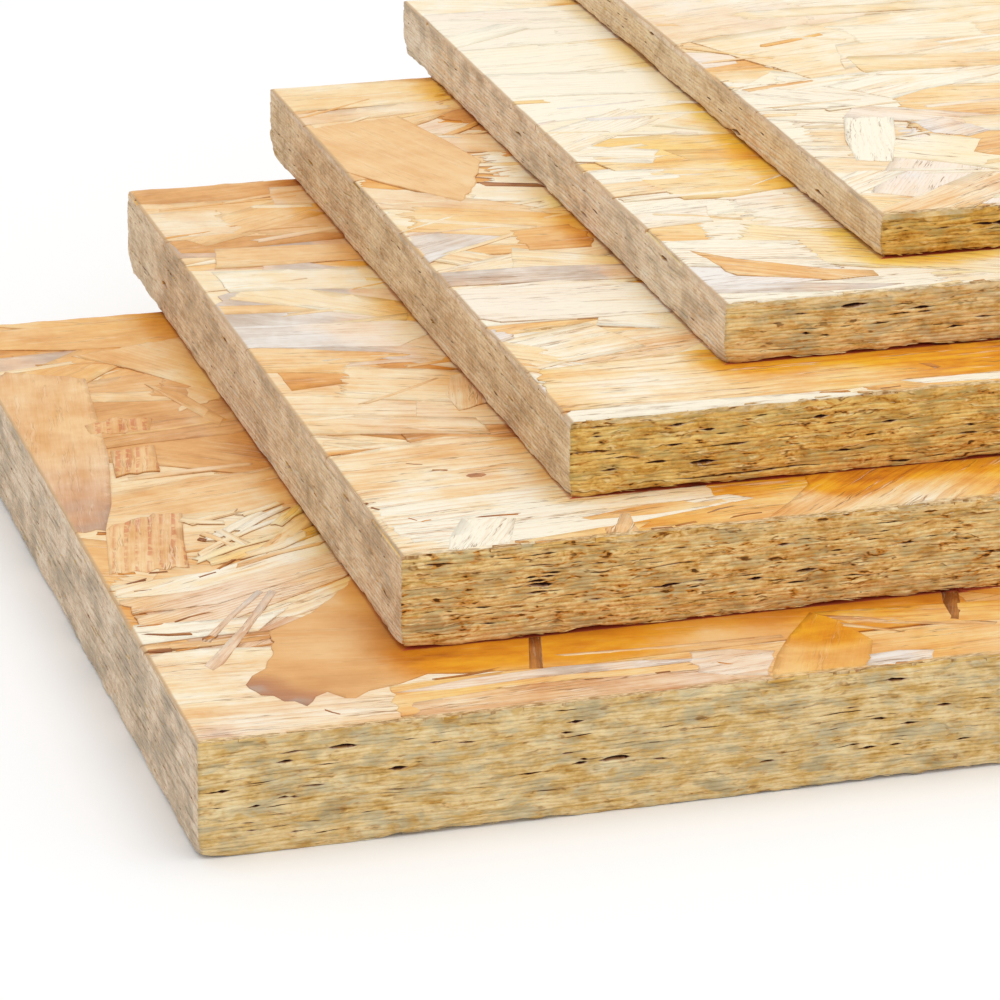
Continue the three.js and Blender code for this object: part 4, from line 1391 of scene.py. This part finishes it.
def face_material(strand_grain, contact_shade):
    """Pressed and sanded strands, cream to orange, each with its own figure."""
    material, shader, n = new_material("face_strands", 0.6)
    tone, cool = n.attribute("tone"), n.attribute("cool")
    rim, figure = n.attribute("rim"), n.attribute("figure")
    grain = n.attribute("grain", "Vector")
    own_number = n.add("ShaderNodeSeparateXYZ", None, _0=grain).outputs[2]
    ring_spacing = n.math("MULTIPLY_ADD", n.math("FRACT", own_number), 1.5, 0.9)
    strand = n.add("ShaderNodeGroup", {"node_tree": strand_grain}, **{
        "Grain": grain, "Ring Spacing": n.remap(figure, 1.0, 1.2, ring_spacing, 2.2),
        "Wander": n.remap(figure, 1.0, 1.2, 0.7, 0.25)})
    near = n.add("ShaderNodeGroup", {"node_tree": contact_shade}, **{
        "Beside": n.attribute("beside", "Vector")})
    honey, seam = near.outputs["Golden Shade"], near.outputs["Seam"]
    where = n.add("ShaderNodeTexCoord").outputs["Object"]
    place = n.attribute("place", "Vector")
    from_left, from_front, _ = n.add("ShaderNodeSeparateXYZ", None, _0=place).outputs
    weathered = n.remap(from_front, 150.0, 30.0, 0.4, 1.0)  # most along the panel's front
    streaky = n.math("MULTIPLY", n.remap(figure, -0.5, 0.1, 0.15, 1.0), weathered)
    blotch = n.noise(where, 70.0, 4.0, 0.65)
    soft = n.noise(n.stretch(grain, 0.035, 0.2, 1.0), 1.0, 2.0, 0.6)
    fibres = strand.outputs["Fibres"]
    streaks = n.math("MULTIPLY_ADD", n.math("SUBTRACT", soft, 0.5), 0.7,
                     n.math("MULTIPLY", n.math("SUBTRACT", fibres, 0.5), 0.9))
    blotchy = n.remap(figure, -0.4, 0.1, 0.35, 0.75)
    warm = n.math("MULTIPLY_ADD", n.math("SUBTRACT", blotch, 0.5), blotchy, tone)
    warm = n.math("MULTIPLY_ADD", streaks, streaky, warm)
    smeared = n.math("MULTIPLY", n.remap(cool, -0.3, -1.2), 0.9)
    smears = n.noise(n.stretch(place, 0.09, 0.22, 0.0), 1.0, 4.0, 0.6)
    warm = n.math("MULTIPLY_ADD", n.math("SUBTRACT", smears, 0.5), smeared, warm)
    # Painted golden shade beside the panel above: deeper and less cool there.
    warm = n.math("MULTIPLY_ADD", honey, 0.1, warm)
    base = n.ramp(warm, FACE_COLOURS)
    hue = n.noise(where, 30.0, 3.0, 0.6)
    cool = n.math("MULTIPLY_ADD", n.math("SUBTRACT", hue, 0.5), 1.5, cool)
    cool = n.math("MULTIPLY_ADD", honey, -0.75, cool)
    pink = n.math("MULTIPLY", n.remap(cool, 0.1, 0.9), 0.6)
    base = n.mix(pink, base, n.mix(n.remap(warm, 0.1, 0.8), linear(246, 226, 210),
                                   linear(190, 134, 104)))
    grey = n.math("MULTIPLY", n.remap(cool, 0.75, 1.0), 0.7)
    base = n.mix(grey, base, n.mix(n.remap(warm, 0.0, 0.5), linear(239, 236, 232),
                                   linear(186, 172, 158)))
    gold = n.mix(1.0, base, linear(252, 214, 66), "MULTIPLY")
    base = n.mix(n.remap(cool, 0.0, -1.5), base, gold)
    hatched = n.remap(figure, 1.0, 1.2)
    ringed = n.math("MULTIPLY", n.math("MULTIPLY_ADD", figure, 0.5, 0.3), streaky)
    ringed = n.math("MULTIPLY", strand.outputs["Rings"], ringed)
    dashed = n.remap(n.noise(n.stretch(grain, 0.6, 0.45, 1.0), 1.0, 2.0, 0.6), 0.4, 0.52)
    dashed = n.math("MULTIPLY", n.remap(strand.outputs["Rings"], 0.01, 0.2, 0.0, 0.65), dashed)
    ringed = n.math("MULTIPLY_ADD", n.math("SUBTRACT", dashed, ringed), hatched, ringed)
    deeper = n.mix(hatched, linear(224, 170, 118), linear(228, 166, 152))
    base = n.mix(ringed, base, n.mix(1.0, base, deeper, "MULTIPLY"))
    pores = n.math("MULTIPLY", strand.outputs["Pores"], n.math("MULTIPLY", streaky, 0.4))
    base = n.mix(pores, base, linear(190, 130, 76))
    # Painted highlight: a pale line on the lip beside each split.
    split_highlights = n.math("MULTIPLY", strand.outputs["Split Highlights"], n.math("MULTIPLY", streaky, 0.5))
    base = n.mix(split_highlights, base, linear(255, 246, 224))
    splits = n.math("MULTIPLY", strand.outputs["Splits"], n.math("MULTIPLY", streaky, 0.8))
    base = n.mix(splits, base, linear(142, 92, 42))
    # Strand borders darkened: partly their dark torn edges, partly painted shade of the step beside
    # them.
    worn = n.math("MULTIPLY", n.remap(rim, 0.6, 1.0), n.remap(fibres, 0.35, 0.6, 0.1, 0.6))
    base = n.mix(worn, base, linear(168, 110, 58))
    # Painted shade: the strands' side walls and undersides are coloured darker brown.
    base = n.mix(n.remap(rim, 1.0, 2.5), base, linear(168, 112, 60))

    # The arris is torn and browned, and a dark red-brown line under the panel above's edge is painted
    # contact shadow.
    ragged = n.noise(n.stretch(place, 0.09, 0.9, 0.0), 1.0, 3.0, 0.7)
    depth = n.math("MULTIPLY_ADD", n.remap(ragged, 0.3, 0.62), 2.6, 0.2)
    torn = n.remap(n.math("DIVIDE", from_front, depth), 1.0, 0.3)
    dashes = n.noise(n.stretch(place, 0.5, 3.0, 0.0), 1.0, 3.0, 0.6)
    brown = n.mix(n.remap(dashes, 0.38, 0.6), linear(240, 214, 164), linear(160, 120, 66))
    torn = n.math("MULTIPLY", torn, n.remap(tone, -0.3, -0.05, 0.15, 0.8))  # less on white ones
    base = n.mix(torn, base, brown)
    rubbed = n.remap(from_left, 1.0, 0.5, 0.0, 0.85)
    base = n.mix(rubbed, base, linear(206, 170, 128))
    base = n.mix(seam, base, linear(200, 92, 56))
    n.plug(base, shader.inputs["Base Color"])
    n.plug(n.remap(fibres, 0.2, 0.8, 0.5, 0.75), shader.inputs["Roughness"])
    shader.inputs["Specular IOR Level"].default_value = FACE_SHINE
    bump = n.add("ShaderNodeBump", None, Strength=RELIEF_STRENGTH, Distance=FACE_RELIEF,
                 Height=strand.outputs["Height"])
    n.plug(bump.outputs["Normal"], shader.inputs["Normal"])
    return material


def edge_material(sawn_look):
    """Unsealed sawn strands with the gaps between them."""
    material, shader, n = new_material("sawn_edge", 0.85)
    look = n.add("ShaderNodeGroup", {"node_tree": sawn_look}, **{
        "Tone": n.attribute("tone"), "Cool": n.attribute("cool"), "Gap": n.attribute("gap"),
        "Crisp": n.attribute("crisp")})
    shader.inputs["Specular IOR Level"].default_value = SAWN_SHINE
    n.plug(look.outputs["Color"], shader.inputs["Base Color"])
    bump = n.add("ShaderNodeBump", None, Strength=RELIEF_STRENGTH, Distance=SAWN_RELIEF,
                 Height=look.outputs["Height"])
    n.plug(bump.outputs["Normal"], shader.inputs["Normal"])
    return material


# --- Studio --------------------------------------------------------------------------------
CAMERA_PLACE = (-0.39011, -0.84729, 0.34641)
CAMERA_YAW = math.radians(17.248)  # to the right of +Y
CAMERA_PITCH = math.radians(21.454)  # down
CAMERA_ROLL = math.radians(-0.832)
CAMERA_LENS = 166.07
CAMERA_SENSOR = 36.0  # mm wide
CAMERA_RANGE = (0.05, 50.0)  # metres that it sees
SKY_LIGHT = 0.785  # strength of the sky's light on the stack; the camera sees it at 1
FLOOR_GREY = 0.93  # the floor as the stack's light meets it; the camera sees it at 1
FLOOR_REACH = 6.0  # from the stack, in metres
LAMP_PLACE = (0.2, -0.1, 1.6)
LAMP_SIZE = 1.4  # metres across
LAMP_WATTS = 8.2


def camera():
    """The camera, placed and turned by yaw, pitch and roll."""
    data = bpy.data.cameras.new("camera")
    data.lens = CAMERA_LENS
    data.sensor_width = CAMERA_SENSOR
    data.clip_start, data.clip_end = CAMERA_RANGE
    cy, sy = math.cos(CAMERA_YAW), math.sin(CAMERA_YAW)
    cp, sp = math.cos(CAMERA_PITCH), math.sin(CAMERA_PITCH)
    forward = Vector((sy * cp, cy * cp, -sp))
    right = Vector((cy, -sy, 0))
    down = forward.cross(right)
    cr, sr = math.cos(CAMERA_ROLL), math.sin(CAMERA_ROLL)
    x_axis = cr * right + sr * down
    y_axis = sr * right - cr * down
    place = Matrix((x_axis, y_axis, -forward)).transposed().to_4x4()
    place.translation = CAMERA_PLACE
    viewer = bpy.data.objects.new("camera", data)
    viewer.matrix_world = place
    bpy.context.scene.collection.objects.link(viewer)
    bpy.context.scene.camera = viewer


def area_light(name, place, target, size, watts):
    """A round lamp that points at a target."""
    data = bpy.data.lights.new(name, "AREA")
    data.shape = "DISK"
    data.size = size
    data.energy = watts
    lamp = bpy.data.objects.new(name, data)
    lamp.location = place
    lamp.rotation_euler = (Vector(target) - Vector(place)).to_track_quat("-Z", "Y").to_euler()
    bpy.context.scene.collection.objects.link(lamp)


def studio():
    """A white floor under an even white sky, and one large soft lamp overhead."""
    world = bpy.data.worlds.new("studio")
    world.use_nodes = True
    n = Nodes(world.node_tree)
    sky = world.node_tree.nodes["Background"]
    n.plug(n.math("MULTIPLY_ADD", n.seen(), 1 - SKY_LIGHT, SKY_LIGHT), sky.inputs["Strength"])
    sky.inputs["Color"].default_value = (1, 1, 1, 1)
    bpy.context.scene.world = world
    area_light("overhead_soft_lamp", LAMP_PLACE, (0.0, 0.0, 0.0), LAMP_SIZE, LAMP_WATTS)

    floor = bpy.data.meshes.new("floor")
    corners = [(-1, -1), (1, -1), (1, 1), (-1, 1)]
    floor.from_pydata([(x * FLOOR_REACH, y * FLOOR_REACH, 0) for x, y in corners],
                      [], [(0, 1, 2, 3)])
    white = bpy.data.materials.new("white_floor")
    white.use_nodes = True
    shader = white.node_tree.nodes["Principled BSDF"]
    n = Nodes(white.node_tree)
    grey = n.math("MULTIPLY_ADD", n.seen(), 1 - FLOOR_GREY, FLOOR_GREY)
    n.plug(n.add("ShaderNodeCombineColor", None, Red=grey, Green=grey, Blue=grey).outputs[0],
           shader.inputs["Base Color"])
    shader.inputs["Roughness"].default_value = 1.0
    shader.inputs["Specular IOR Level"].default_value = 0.0
    floor.materials.append(white)
    ground = bpy.data.objects.new("floor", floor)
    bpy.context.scene.collection.objects.link(ground)


# --- The stack -----------------------------------------------------------------------------
bpy.context.scene.view_settings.view_transform = "Standard"
camera()
studio()
face_strands = face_material(strand_grain_group(), contact_shade_group())
sawn_edge = edge_material(sawn_look_group())
for panel in PANELS:
    Band(panel).build(sawn_edge)
    face_skin(panel, "top", [face_strands, sawn_edge])
    face_skin(panel, "under", [face_strands, sawn_edge])
